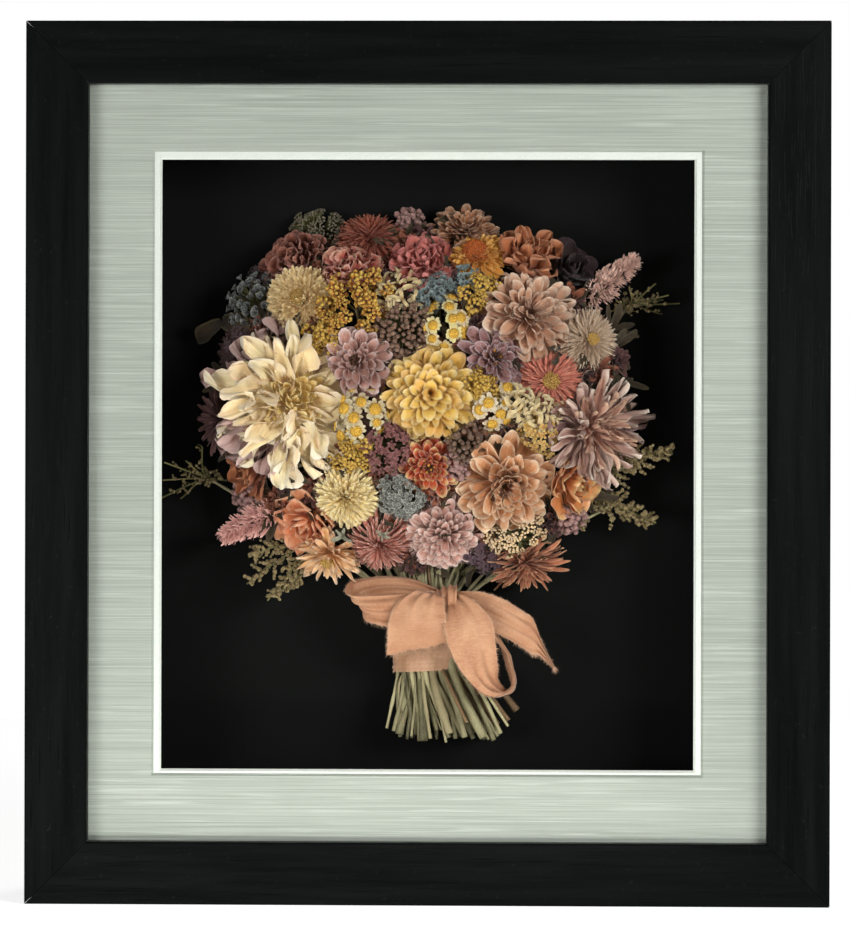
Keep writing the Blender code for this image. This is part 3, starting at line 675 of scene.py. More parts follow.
# The stems: dried, olive to straw coloured and faintly ribbed, from their cut ends through the tie to
# their heads. Each follows its own flower's packed stem, and is part of the flower's piece.
TIE_LOW = 0.150
TIE_TOP = 0.186
TIE_SLICE = 0.004
CUT_ENDS_BELOW = 0.118
STEM_RADIUS = 0.0017
NECK_RADIUS = 0.0010
NECK_ABOVE_TIE = 0.03
STEM_FLARE = 0.030
STEM_BEND = 0.0012
STEM_ROWS = 44
STEM_SIDES = 8
STEM_SPOTS = (0.25, 0.45, 0.65, 0.8, 1.0)
FORWARD_LATE = 3


def note(place, name):
    """One of the numbers that the mesh notes on its points."""
    return place.node("ShaderNodeAttribute", {"attribute_name": name}, output="Fac")


def stem_finish(name, dark, light):
    """Dried stems: ribbed streaks, some of them browner, and a pale pith at the cut end."""
    material, place = new_finish(name)
    own = note(place, "own")
    streaks = place.times((2200, 2200, 45)).noise(1.0, 3)
    patches = place.noise(55, 2)
    shade = streaks * 0.35 + patches * 0.30 + own * 0.35
    colour = shade.rise(0.30, 0.72).between(paint(dark), paint(light))
    colour = (own.rise(0.80, 0.95) * 0.5).between(colour, paint("5E4630"))
    colour = (note(place, "along").rise(0.035, 0.0) * 0.7).between(colour, paint("CFC6A0"))
    return lay(
        material,
        {"Base Color": colour, "Roughness": streaks * 0.2 + 0.5, "Normal": streaks.bump(0.0002, 0.6)},
    )


dried_stem = stem_finish("dried_stem", "4E4830", "BAAE84")


def stem_of(name, chance):
    """The stem's centre line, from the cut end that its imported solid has, and its radii."""
    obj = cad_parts[name]
    solid = np.array([obj.matrix_world @ v.co for v in obj.data.vertices])
    cut = solid[solid[:, 2] < CUT_ENDS_BELOW].mean(0)
    tied = solid[(solid[:, 2] > TIE_LOW - TIE_SLICE) & (solid[:, 2] < TIE_LOW + TIE_SLICE)].mean(0)
    middle = seats[name][0]
    points = [cut, cut * 0.5 + tied * 0.5 + chance.uniform(-STEM_BEND, STEM_BEND, 3) * (1, 1, 0)]
    points += [tied, np.array((tied[0], tied[1], TIE_TOP))]
    rise = middle[2] - TIE_TOP
    full = rise**2 / (rise + STEM_FLARE)
    for part in STEM_SPOTS:
        share = (part * rise) ** 2 / (part * rise + STEM_FLARE) / full
        across = tied[0] + share * (middle[0] - tied[0])
        deep = tied[1] + share**FORWARD_LATE * (middle[1] - tied[1])
        points.append(np.array((across, deep, TIE_TOP + part * rise)))
    line = smooth_line(points, STEM_ROWS)
    thick = STEM_RADIUS * chance.uniform(0.65, 1.35)
    radii = np.interp(line[:, 2], (TIE_LOW, TIE_TOP + NECK_ABOVE_TIE), (thick, NECK_RADIUS))
    radii *= 1 + 0.10 * np.sin(np.arange(STEM_ROWS) * 1.15 + chance.uniform(0, 6))
    cut_face = line[:1] + (line[:1] - line[1:2]) * 0.01
    return np.concatenate((cut_face, line)), np.concatenate(((STEM_RADIUS / 20,), radii))


CALYX_SEPALS = 9


def set_flower(name, growth, finishes, chance, proud=0.0015, calyx=0.22):
    """The flower's piece: its head turned to the way that it faces and pressed among its neighbours,
    the calyx under it, and its stem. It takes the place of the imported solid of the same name."""
    middle, facing, radius = seats[name]
    if calyx:
        cup = petals(
            chance, CALYX_SEPALS, 0.62 * radius, calyx * radius, 0.5, -0.2, (0.03 * radius, -0.16 * radius),
            (0.6, 1.0, 2.0), 0.6, grid=(4, 3),
        )
        growth.add(cup, len(finishes), chance=chance)
    growth.moved(turned(facing, chance.uniform(0, 6)), middle)
    growth.sheets = [(pressed(name, points, proud), k, own) for points, k, own in growth.sheets]
    line, radii = stem_of(name, chance)
    growth.add(tubes(line[None], radii[None], STEM_SIDES), len(finishes), chance=chance)
    obj = growth.piece("flower_" + name, [*finishes, dried_stem])
    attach(obj, "root")
    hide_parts(name)


def chance_of(name):
    """The flower's own seeded draws."""
    return np.random.default_rng(100 + list(HEADS).index(name))


def petal_finish(name, foot, body, tip, edge, streak=0.42, roughness=0.72, through=0.03):
    """A dried petal: dark at its foot, where its own darker base is deepened by painted shade for the
    crevices between petals, its body colour, a lighter tip and edges, and fine veins that run along it.
    Every petal is a little lighter or darker than the next, and a painted glow of its body colour, whose
    strength is through, stands in for the light that comes through the petals into the gaps between them."""
    material, place = new_finish(name)
    along, across, own = note(place, "along"), note(place, "across"), note(place, "own")
    lanes = place.node("ShaderNodeCombineXYZ", None, {"X": across * 4.6, "Y": along, "Z": own * 60.0})
    veins = lanes.noise(2.4, 4, 0.65)
    blotch = place.noise(300, 3, 0.6)
    # The foot colour is partly the petal's own darker base and partly painted shade where the petals meet.
    colour = (along + blotch * 0.3).rise(0.14, 0.44).between(paint(foot), paint(body))
    colour = (along + veins * 0.5 + blotch * 0.3).rise(0.95, 1.45).between(colour, paint(tip))
    colour = ((across * across + blotch * 0.5).rise(0.62, 1.35) * 0.7).between(colour, paint(edge))
    colour = (veins.rise(0.50, 0.68) * streak).between(colour, paint(foot))
    colour = (own.rise(0.45, 1.0) * 0.28).between(colour, paint(foot))
    look = {
        "Base Color": colour,
        "Roughness": veins * 0.15 + (roughness - 0.07),
        "Normal": (veins + blotch * 0.5).bump(0.0008, 0.9),
        "Sheen Weight": 0.12,
        "Specular IOR Level": 0.35,
        # A painted glow of the body colour, standing in for light that comes through the petals.
        "Emission Color": paint(body),
        "Emission Strength": through,
    }
    return lay(material, look)


def ranked(growth, chance, radius, rings, outer, inner, finish=0, loose=0.1):
    """Rings of petals from the outermost to the innermost. outer and inner give the ring's count,
    length, width, lift, curl, foot out, foot up, roll and ripple there, in shares of the radius."""
    form, twist, crumple, grid = outer[9:]
    for ring in range(rings):
        share = ring / max(rings - 1, 1)
        count, length, width, lift, curl, out, up, roll, ripple = (
            a + (b - a) * share for a, b in zip(outer[:9], inner[:9])
        )
        sheets = petals(
            chance, round(count), length * radius, width * radius, lift, curl,
            (out * radius, up * radius), form, roll, twist, ripple, crumple, loose,
            turn=ring * 2.4, grid=grid,
        )
        growth.add(sheets, finish, chance=chance)


GOLDEN_ANGLE = 2.39996
BALL_KINDS = 4


def way_out(polar, around):
    """The direction at an angle off +Z and an angle around it."""
    return np.stack((np.sin(polar) * np.cos(around), np.sin(polar) * np.sin(around), np.cos(polar)), -1)


def ball(growth, chance, radius, count, width, start, low, high, flat, curl, form, finish, roll, grid):
    """Petals that start inside a dome and end on it, from the angle low off its top down to the angle
    high. Each bends outward over the next by curl. They are copies of a few kinds."""
    for kind in range(BALL_KINDS):
        k = np.arange(kind, count, BALL_KINDS) + 0.5
        polar = np.arccos(math.cos(low) + k / count * (math.cos(high) - math.cos(low)))
        polar += chance.uniform(-0.06, 0.06, len(k))
        around = k * GOLDEN_ANGLE + chance.uniform(-0.12, 0.12, len(k))
        facings = way_out(polar, around)
        reach = radius * (1 - (1 - flat) * np.cos(polar)) * chance.uniform(0.88, 1.06, len(k))
        sheet = petals(
            chance, 1, 1 - start, width, 0.5 * math.pi, chance.uniform(0.7, 1.3) * curl, (0.0, start), form,
            roll, 0.4, 0.12, 0.05, 0.01, grid=grid,
        )
        spins = chance.uniform(-0.35, 0.35, len(k)) - 0.5 * math.pi
        growth.add(planted(sheet, np.zeros((len(k), 3)), facings, reach, spins), finish, chance=chance)


BUD = tubes(
    np.array((((0, 0, -0.4), (0, 0, 0.3), (0, 0, 0.75), (0, 0, 0.9)),)),
    np.array(((0.30, 0.42, 0.30, 0.03),)),
    5,
)


def heart(growth, chance, radius, height, top, count, size, finish):
    """A flower's eye: small buds packed in a spiral over a low mound."""
    k = np.arange(count) + 0.5
    out = radius * np.sqrt(k / count)
    around = k * GOLDEN_ANGLE
    rise = top + height * (1 - (out / radius) ** 2)
    places = np.stack((out * np.cos(around), out * np.sin(around), rise), -1)
    facings = places - np.array((0, 0, top - 2.2 * radius))
    facings /= np.linalg.norm(facings, axis=1, keepdims=True)
    sizes = size * chance.uniform(0.75, 1.25, count)
    growth.add(planted(BUD, places, facings, sizes, chance.uniform(0, 6, count)), finish, chance=chance)


# The café-au-lait and mauve dahlias: rings of long petals rolled along their middles, which have
# shrivelled and twisted in drying, with duskier ones behind and golden or rosy ones in the heart.
POINTED = (0.50, 0.7, 1.9)
TAPERED = (0.50, 0.8, 2.1)
HOOKED = (0.50, 0.8, 3.0)
LONG_TIP = (0.50, 0.6, 1.6)
BROAD = (0.50, 0.9, 4.5)
CUPPED = (0.5, 0.7, 4.5)
FINE = (15, 8)
LARGE_PROUD = 0.004
DAHLIAS = {
    "cafe_au_lait_dahlia": (
        ("D08C2C", "E8D6AA", "E8DED0", "E6D8CE"), 0.26,
        (18, 0.90, 0.50, 0.30, 0.90, 0.10, 0.02, 1.3, 1.1, HOOKED, 1.5, 0.22, FINE),
        (14, 0.66, 0.36, 1.00, 0.30, 0.06, 0.16, 1.2, 0.6),
    ),
    "mauve_dahlia": (
        ("40201C", "B48A7C", "F0E2D0", "ECD8C8"), 0.22,
        (15, 1.38, 0.48, 0.05, 0.25, 0.08, -0.05, 1.3, 0.5, LONG_TIP, 1.6, 0.12, FINE),
        (9, 0.44, 0.20, 1.25, -0.40, 0.02, 0.20, 1.3, 0.10),
    ),
}
HEART_PETALS = {
    "cafe_au_lait_dahlia": ("CC8C2C", "E8CA7C", "EEDEAC", "F0E4C0"),
    "mauve_dahlia": ("6A3A30", "B88470", "D6B294", "DEC2A6"),
}
OUTER_PETALS = {
    "cafe_au_lait_dahlia": (
        ("6A4640", "B08A82", "CEAFA8", "D4BAB4"),
        (15, 1.10, 0.46, 0.10, 0.45, 0.10, -0.04, 1.3, 1.0, HOOKED, 1.6, 0.20, FINE),
    ),
    "mauve_dahlia": (
        ("5C3434", "A07874", "CCA8A4", "D8B8B4"),
        (12, 1.46, 0.44, -0.05, 0.20, 0.08, -0.05, 1.2, 0.5, LONG_TIP, 1.6, 0.12, FINE),
    ),
}
for name, (colours, loose, outer, inner) in DAHLIAS.items():
    chance, growth, radius = chance_of(name), Growth(), seats[name][2]
    middle = tuple((a + b) / 2 for a, b in zip(outer[:9], inner))
    ranked(growth, chance, radius, 5, outer, middle, 0, loose)
    if name == "cafe_au_lait_dahlia":
        ball(growth, chance, 0.66 * radius, 84, 0.44, 0.25, 0.0, 1.15, 0.86, -0.45, HOOKED, 1, 1.2, (11, 7))
    else:
        ranked(growth, chance, radius, 5, middle + outer[9:], inner, 1, loose)
    far_colours, far = OUTER_PETALS[name]
    ranked(growth, chance, radius, 2, far, far[:9], 2, loose)
    finishes = [
        petal_finish(name + "_petals", *colours, through=0.06),
        petal_finish(name + "_heart_petals", *HEART_PETALS[name], through=0.06),
        petal_finish(name + "_outer_petals", *far_colours),
    ]
    set_flower(name, growth, finishes, chance, proud=LARGE_PROUD)

# The yellow dahlia is a ball: spirals of short cupped petals, with a ring of rosy ones behind. It has
# kept its shape in drying. The dark feet of its petals are partly their own deeper orange and partly painted
# shade between them.
name = "yellow_dahlia"
chance, growth, radius = chance_of(name), Growth(), seats[name][2]
ball(growth, chance, 1.02 * radius, 104, 0.44, 0.20, 0.0, 1.45, 0.72, 0.45, BROAD, 0, 1.0, (11, 7))
far = (14, 1.14, 0.46, -0.05, 0.05, 0.10, -0.04, 0.9, 0.15, BROAD, 0.35, 0.05, (11, 7))
ranked(growth, chance, radius, 2, far, far[:9], 1, 0.12)
finishes = [
    petal_finish(name + "_petals", "C8660A", "E2B856", "E8DAB0", "E8D2A4"),
    petal_finish(name + "_outer_petals", "9A4C38", "D69878", "E4B690", "EAC6A0"),
]
set_flower(name, growth, finishes, chance, proud=LARGE_PROUD)

# The zinnias: stiff blunt petals in flat ranks round a dark eye of small florets, on the largest
# ones two or three eyes that grew together.
BLUNT = (0.46, 0.9, 6.0)
MEDIUM = (9, 5)
DARK_EYE = petal_finish("zinnia_eyes", "1E100C", "4A2418", "A06428", "6A3A20", 0.2)
ZINNIAS = {
    "peach_zinnia": (("67180B", "CA8A5B", "EFDEC2", "EFDEC2"), 14, 0.60, 7, 0.15),
    "blush_zinnia": (("71311E", "CA9778", "EFDDC9", "EFDDC9"), 20, 0.44, 8, 0.0),
    "pink_zinnia": (("421613", "C08B7C", "EFDEDB", "EFDEDB"), 16, 0.50, 7, 0.16),
    "grey_mauve_zinnia": (("3A1312", "9E6E69", "D3B9BE", "ECE0E5"), 14, 0.54, 6, 0.20),
    "orange_red_zinnia": (("5A0603", "C24D25", "EFEBA3", "EFBEAC"), 16, 0.48, 7, 0.22),
    "tan_pink_zinnia": (("3F291E", "A56841", "C0A38E", "CEB098"), 20, 0.44, 8, 0.0),
}
GOLD_FLORETS = petal_finish("gold_florets", "8A3E0C", "CC8428", "E0A840", "DC9C3C", 0.2)
for name, (colours, count, width, rings, eye) in ZINNIAS.items():
    chance, growth, radius = chance_of(name), Growth(), seats[name][2]
    ranked(
        growth, chance, radius, rings,
        (count, 1.04, width, -0.05, -0.05, 0.10, 0.00, 0.9, 0.15, BLUNT, 0.3, 0.045, MEDIUM),
        (9, 0.34, 0.52 * width, 0.90, -0.4, 0.08, 0.34, 1.1, 0.1),
        loose=0.13,
    )
    eyes = ((-0.20, 0.0), (0.22, 0.04)) if name == "peach_zinnia" else ((0.0, 0.0),)
    for x, y in eyes if eye else ():
        start = len(growth.sheets)
        heart(growth, chance, eye * radius, 0.06 * radius, 0.40 * radius, 36, 0.06 * radius, 1)
        points, finish, own = growth.sheets[start]
        growth.sheets[start] = (points + (x * radius, y * radius, 0), finish, own)
    if name in ("orange_red_zinnia", "grey_mauve_zinnia"):
        ring = 22 if name == "orange_red_zinnia" else 7
        heart(growth, chance, 1.7 * eye * radius, 0.06 * radius, 0.38 * radius, ring, 0.10 * radius, 2)
    set_flower(name, growth, [petal_finish(name + "_petals", *colours), DARK_EYE, GOLD_FLORETS], chance)

# The pompons, chrysanthemums and asters, and the palest zinnia: petals that stand out all round, in
# even spirals on the pompons and the zinnia and fine and ragged on the rest.
NARROW = (0.5, 0.8, 4.0)
GOLD_EYE = petal_finish("gold_eyes", "7A4E1C", "BC8E3C", "D2AC5C", "CCA054", 0.2)
# These heads take a stronger painted glow, standing in for light through their petals.
GLOWING = ("cream_pom", "gold_pom", "beige_pink_mum", "dark_mum")
BALLS = {
    "pale_pink_zinnia": (("6F2922", "C18E7F", "EBDAD0", "EFE1D7"), 150, 0.36, 0.40, BLUNT, 0.66, 0.75, 0.0),
    "cream_pom": (("DCA03A", "F0D894", "EEE2CC", "EEE4DA"), 520, 0.17, 0.45, NARROW, 0.72, 0.5, 0.0),
    "gold_pom": (("DA9536", "EACE95", "ECDCBD", "ECDEC6"), 560, 0.16, 0.50, NARROW, 0.72, -0.5, 0.22),
    "beige_pink_mum": (("7E5232", "CAA888", "E7D7C8", "E7D7C8"), 620, 0.10, 0.25, POINTED, 0.60, 0.4, 0.16),
    "rose_aster": (("B63B26", "D67964", "E5AB8D", "E9B59E"), 520, 0.13, 0.22, POINTED, 0.55, 0.9, 0.20),
    "dusty_red_dahlia": (("671E14", "AC5138", "AE7461", "BB8B73"), 320, 0.19, 0.15, POINTED, 0.65, 0.6, 0.0),
    "dusty_aster": (("A62D1E", "BC6E59", "EECFC0", "EFD1C2"), 420, 0.13, 0.20, POINTED, 0.60, 0.7, 0.0),
    "dark_mum": (("160A08", "3E2624", "50342E", "604440"), 300, 0.17, 0.20, POINTED, 0.65, 0.5, 0.0),
}
for name, (colours, count, width, start, form, flat, curl, eye) in BALLS.items():
    chance, growth, radius = chance_of(name), Growth(), seats[name][2]
    grid = (9, 6) if width > 0.3 else (7, 4)
    low = 0.9 * eye
    ball(growth, chance, 1.04 * radius, count, width, start, low, 1.75, flat, curl, form, 0, 0.9, grid)
    if eye:
        heart(growth, chance, eye * radius, 0.08 * radius, (flat - 0.14) * radius, 60, 0.07 * radius, 1)
    soft = petal_finish(name + "_petals", *colours, through=0.10 if name in GLOWING else 0.04)
    set_flower(name, growth, [soft, GOLD_EYE], chance)

# The small dahlias: ranks of narrow pointed petals, ragged with drying. All three stand at the rim of
# the bouquet, and the peach one has a gold eye.
SMALL_DAHLIAS = {
    "maroon_dahlia": (("34161C", "5E3A38", "74504A", "86625A"), 16, 0.30, POINTED, 0.0),
    "small_peach_dahlia": (("EFA53D", "EFBB89", "CEC1B3", "E2D4C3"), 16, 0.32, TAPERED, 0.20),
    "low_dahlia": (("6A2824", "B46A4A", "E2B080", "E6B894"), 18, 0.28, POINTED, 0.0),
}
for name, (colours, count, width, form, eye) in SMALL_DAHLIAS.items():
    chance, growth, radius = chance_of(name), Growth(), seats[name][2]
    ranked(
        growth, chance, radius, 8,
        (count, 1.15, width, 0.0, 0.15, 0.08, 0.05, 0.9, 0.2, form, 0.7, 0.07, (9, 5)),
        (count * 0.5, 0.42, 0.7 * width, 1.2, -0.3, 0.03, 0.22, 1.1, 0.1),
        loose=0.18,
    )
    if eye:
        heart(growth, chance, eye * radius, 0.10 * radius, 0.46 * radius, 60, 0.075 * radius, 1)
    set_flower(name, growth, [petal_finish(name + "_petals", *colours), GOLD_EYE], chance)

# The strawflower: broad shining bracts like straw in a few ranks, round a high deep orange heart. It
# dries without losing its shape or its colour.
name = "strawflower"
chance, growth, radius = chance_of(name), Growth(), seats[name][2]
ball(growth, chance, 1.02 * radius, 150, 0.30, 0.30, 0.62, 1.75, 0.62, 0.10, BROAD, 0, 0.8, (8, 5))
heart(growth, chance, 0.42 * radius, 0.46 * radius, 0.26 * radius, 240, 0.07 * radius, 1)
straw = petal_finish("strawflower_bracts", "B85810", "E09A3C", "EEC474", "F0CC88", 0.2, 0.36, 0.07)
straw_heart = petal_finish("strawflower_heart", "6A2206", "B85212", "D8741E", "DC8228", 0.2)
set_flower(name, growth, [straw, straw_heart], chance)

# The roses and carnations: broad petals that wrap round each other, tight and smooth on the roses,
# loose with frilled edges on the carnations and the cockscomb.
FAN = (0.22, 1.1, 9.0)
ROSES = {
    "salmon_rose": ("7A3420", "B4683E", "C08660", "C89478"),
    "maroon_rose": ("150909", "281311", "371C28", "452B34"),
    "rust_rose": ("642A18", "9C5632", "AC6C48", "BC8660"),
    "peach_rose": ("D0542C", "E89C6C", "E4C0A4", "ECC8AC"),
    "ruffled_rose": ("892C13", "D98A4B", "E6D89B", "EECCAB"),
}
for name, colours in ROSES.items():
    chance, growth, radius = chance_of(name), Growth(), seats[name][2]
    if name == "salmon_rose":
        outer = (6, 1.15, 0.95, 0.70, 0.15, 0.08, -0.10, 0.9, 0.55, TAPERED, 0.6, 0.15, (14, 9))
    else:
        outer = (6, 1.15, 1.05, 0.28, -0.25, 0.05, -0.05, 0.55, 0.22, CUPPED, 0.15, 0.05, (12, 9))
    ranked(growth, chance, radius, 6, outer, (3, 0.85, 0.55, 1.35, -0.55, 0.03, 0.00, 1.5, 0.10))
    set_flower(name, growth, [petal_finish(name + "_petals", *colours, 0.25, 0.6)], chance)
FRILLED = {
    "salmon_carnation": ("4B1E0F", "763A25", "AD7263", "B7877B"),
    "coral_carnation": ("8C251C", "B65947", "DBBC9F", "E1B0A7"),
    "pink_cockscomb": ("63261C", "BE6354", "C67B7A", "D28F89"),
}
for name, colours in FRILLED.items():
    chance, growth, radius = chance_of(name), Growth(), seats[name][2]
    ranked(
        growth, chance, radius, 8,
        (10, 1.10, 0.62, 0.05, -0.15, 0.04, 0.00, 0.35, 0.55, FAN, 0.5, 0.08, (9, 10)),
        (5, 0.72, 0.50, 1.35, -0.2, 0.02, 0.05, 0.6, 0.7),
    )
    set_flower(name, growth, [petal_finish(name + "_petals", *colours, 0.2)], chance)

# The sprays of small flowers. On each, many florets or berries stand on fine stalks that leave the
# stem together, and make a mound.
def mound(chance, radius, height, count, reach=1.75):
    """Places spread over a mound, and the way out at each."""
    k = np.arange(count) + 0.5
    polar = np.arccos(1 - k / count * (1 - math.cos(reach)))
    around = k * GOLDEN_ANGLE + chance.uniform(-0.3, 0.3, count)
    way = way_out(polar, around)
    way += chance.uniform(-0.12, 0.12, way.shape)
    return way * (radius, radius, height) * chance.uniform(0.86, 1.06, (count, 1)), way


STALK_RADIUS = 0.00022
UMBEL_STALK_RADIUS = 0.00014


def stalks(growth, chance, foot, places, finish, radius):
    """Fine stalks from one foot to every place."""
    t = np.linspace(0, 1, 4)[None, :, None]
    ends = places[:, None]
    lines = np.array(foot)[None, None] * (1 - t) + ends * t
    lines[..., :2] = lines[..., :2] * t**0.35
    growth.add(tubes(lines, np.full(lines.shape[:2], radius), 3), finish, chance=chance)


def floret(chance, count, lift, form, width, grid):
    """One small flower of a few petals, a unit across, facing up."""
    return petals(chance, count, 0.5, width, lift, 0.0, (0.04, 0.0), form, grid=grid)


BEAD = tubes(
    np.array((((0, 0, -0.5), (0, 0, -0.2), (0, 0, 0.25), (0, 0, 0.5)),)),
    np.array(((0.03, 0.48, 0.46, 0.04),)),
    5,
)
BUTTON = tubes(
    np.array((((0, 0, 0.0), (0, 0, 0.08), (0, 0, 0.14), (0, 0, 0.16)),)),
    np.array(((0.27, 0.28, 0.19, 0.01),)),
    9,
)


UMBEL_FLORETS = 15
LOBE_FLORETS = 38


def spray_of(name, growth, radius, count, size, shape):
    """A mound of florets of one shape. Petals take the first finish, hearts and beads the second."""
    chance = np.random.default_rng(sum(map(ord, name)))
    places, facings = mound(chance, 0.92 * radius, 0.72 * radius, count)
    facings = facings + (0, 0, 0.5)
    facings /= np.linalg.norm(facings, axis=1, keepdims=True)
    stalks(growth, chance, (0, 0, -0.3 * radius), places, 2, STALK_RADIUS)
    sizes = size * chance.uniform(0.75, 1.2, count)
    spins = chance.uniform(0, 6, count)
    own = chance.random(count)
    if shape == "daisy":
        flower = floret(chance, 11, 0.05, BLUNT, 0.32, (6, 4))
        growth.add(planted(flower, places, facings, sizes, spins), 0, np.repeat(own, len(flower)))
        growth.add(planted(BUTTON, places, facings, sizes * 1.15, spins), 1, own)
    elif shape == "four":
        flower = floret(chance, 4, 0.15, BLUNT, 0.50, (5, 4))
        growth.add(planted(flower, places, facings, sizes, spins), 0, np.repeat(own, len(flower)))
        growth.add(planted(BEAD, places, facings, sizes * 0.14, spins), 1, own)
    elif shape == "funnel":
        flower = floret(chance, 6, 0.95, FAN, 0.50, (4, 4))
        growth.add(planted(flower, places, facings, sizes, spins), 0, np.repeat(own, len(flower)))
    elif shape == "bead":
        growth.add(planted(BEAD, places, facings, sizes, spins), 1, own)
    elif shape == "umbel":
        for place, facing, wide in zip(places, facings, sizes):
            crowd, ways = mound(chance, 0.5 * wide, 0.2 * wide, UMBEL_FLORETS, 1.2)
            crowd = crowd @ turned(facing).T + place
            stalks(growth, chance, place - 0.5 * wide * facing, crowd, 2, UMBEL_STALK_RADIUS)
            bead_sizes = np.full(UMBEL_FLORETS, 0.2 * wide)
            beads = planted(BEAD, crowd, ways @ turned(facing).T, bead_sizes, np.zeros(UMBEL_FLORETS))
            growth.add(beads, 1, chance.random(UMBEL_FLORETS))
    elif shape == "lobes":
        for place, facing, wide in zip(places, facings, sizes):
            crowd, ways = mound(chance, 0.5 * wide, 0.8 * wide, LOBE_FLORETS, 2.2)
            crowd = crowd @ turned(facing).T + place
            bead_sizes = 0.28 * wide * chance.uniform(0.7, 1.2, LOBE_FLORETS)
            beads = planted(BEAD, crowd, ways @ turned(facing).T, bead_sizes, np.zeros(LOBE_FLORETS))
            growth.add(beads, 1, chance.random(LOBE_FLORETS))
    elif shape == "curls":
        curl = petals(chance, 3, 0.8, 0.34, 0.9, 1.9, form=CUPPED, roll=1.2, crumple=0.08, grid=(9, 4))
        growth.add(planted(curl, places, facings, sizes, spins), 0, np.repeat(own, len(curl)))
    return chance


STALK = stem_finish("spray_stalks", "4E4A2A", "86804C")
SPRAYS = {
    "goldenrod": ("lobes", 30, 0.0098, ("C65B11", "AD6D1E", "DBBF53", "E3CF66")),
    "mauve_berries": ("bead", 330, 0.0038, ("582616", "724B37", "8E735F", "99826E")),
    "top_feverfew": ("daisy", 20, 0.0104, ("EFEF5B", "E0C596", "C9BEAE", "CDC1B2")),
    "left_feverfew": ("daisy", 25, 0.0116, ("9A6F47", "CEBA8B", "E4DBC5", "E8DEC8")),
    "right_feverfew": ("daisy", 24, 0.0106, ("A66E3A", "CFBB99", "E4DAC7", "E8DDCB")),
    "mauve_yarrow": ("four", 190, 0.0054, ("4C1A12", "854E48", "A67475", "B28487")),
    "grey_berries": ("bead", 240, 0.0035, ("471A0C", "6F4429", "78685A", "837263")),
    "gold_yarrow": ("four", 170, 0.0052, ("995413", "D09F45", "ECE8B1", "EFDAB3")),
    "beige_lace": ("umbel", 40, 0.0088, ("EFBC6D", "EFC792", "CEBFAC", "D5C6B1")),
    "grey_lace": ("umbel", 36, 0.0082, ("4A4030", "72664E", "8A7E66", "948974")),
    "blue_statice": ("funnel", 90, 0.0072, ("222020", "51504E", "ADAEA9", "C2C3BA")),
    "blue_hydrangea": ("four", 110, 0.0076, ("242321", "6E6B62", "D5D2C8", "E7E3D8")),
}


def granular(name, dark, light, grain):
    """The close-set florets of a button, as fine grains."""
    material, place = new_finish(name)
    grains = place.noise(grain, 2, 0.6)
    look = {
        "Base Color": grains.rise(0.36, 0.60).between(paint(dark), paint(light)),
        "Roughness": 0.8,
        "Normal": grains.bump(0.0010, 1.0),
    }
    return lay(material, look)


feverfew_eye = granular("feverfew_buttons", "9C6410", "E8B846", 1500)
for name, (shape, count, size, colours) in SPRAYS.items():
    growth = Growth()
    chance = spray_of(name, growth, seats[name][2], count, size, shape)
    soft = petal_finish(name + "_petals", *colours, 0.2)
    eye = feverfew_eye if shape == "daisy" else soft
    set_flower(name, growth, [soft, eye, STALK], chance, proud=0.0025, calyx=0)

# The celosia plumes: a soft spike of hundreds of chaffy bracts, pale at its tip. One stands out at the
# upper right of the rim, and one at the lower left.
PLUME_BRACTS = 520
BRACT_LENGTH = 0.0046
PLUMES = {
    "right_plume": ("714039", "EFBDAA", "EFDDD4", "EFDDD4"),
    "left_plume": ("B8605C", "ECB0A4", "F0CEC0", "F0D2C6"),
}
for name, colours in PLUMES.items():
    chance, growth, radius = chance_of(name), Growth(), seats[name][2]
    count = PLUME_BRACTS
    up = chance.uniform(0, 1, count) ** 0.8
    wide = radius * 0.95 * np.sqrt(1 - 0.94 * up) * chance.uniform(0.35, 1.0, count)
    around = chance.uniform(0, math.tau, count)
    places = np.stack((wide * np.cos(around), wide * np.sin(around), radius * (3.9 * up - 1.5)), -1)
    places[:, 0] += 0.35 * radius * up**2
    facings = np.stack((np.cos(around), np.sin(around), 0.4 + 1.5 * up), -1)
    facings /= np.linalg.norm(facings, axis=1, keepdims=True)
    bract = petals(chance, 2, 1.0, 0.40, 1.2, 0.3, form=POINTED, roll=0.8, grid=(4, 3))
    block = planted(bract, places, facings, BRACT_LENGTH * chance.uniform(0.7, 1.3, count), around)
    growth.add(block, 0, np.repeat(up * 0.5 + 0.5 * chance.random(count), 2))
    chaff = petal_finish(name + "_bracts", *colours, 0.15, through=0.09)
    set_flower(name, growth, [chaff], chance, proud=0.004, calyx=0)

# The sprigs at the rim: two olive ones whose side shoots are full of round seed heads, and two wiry
# tendrils that fork into threads with a bud at each end.
SPRIG = petal_finish("olive_seed_heads", "4A3A1C", "847046", "A89264", "B29E74", 0.3)
OLIVE_SHOOTS = 34
TENDRIL_FORKS = 6
TENDRIL_SHOOTS = 9
SPRIG_PROUD = 0.006


AXIS_RADIUS = 0.0006
SHOOT_ROWS = 9


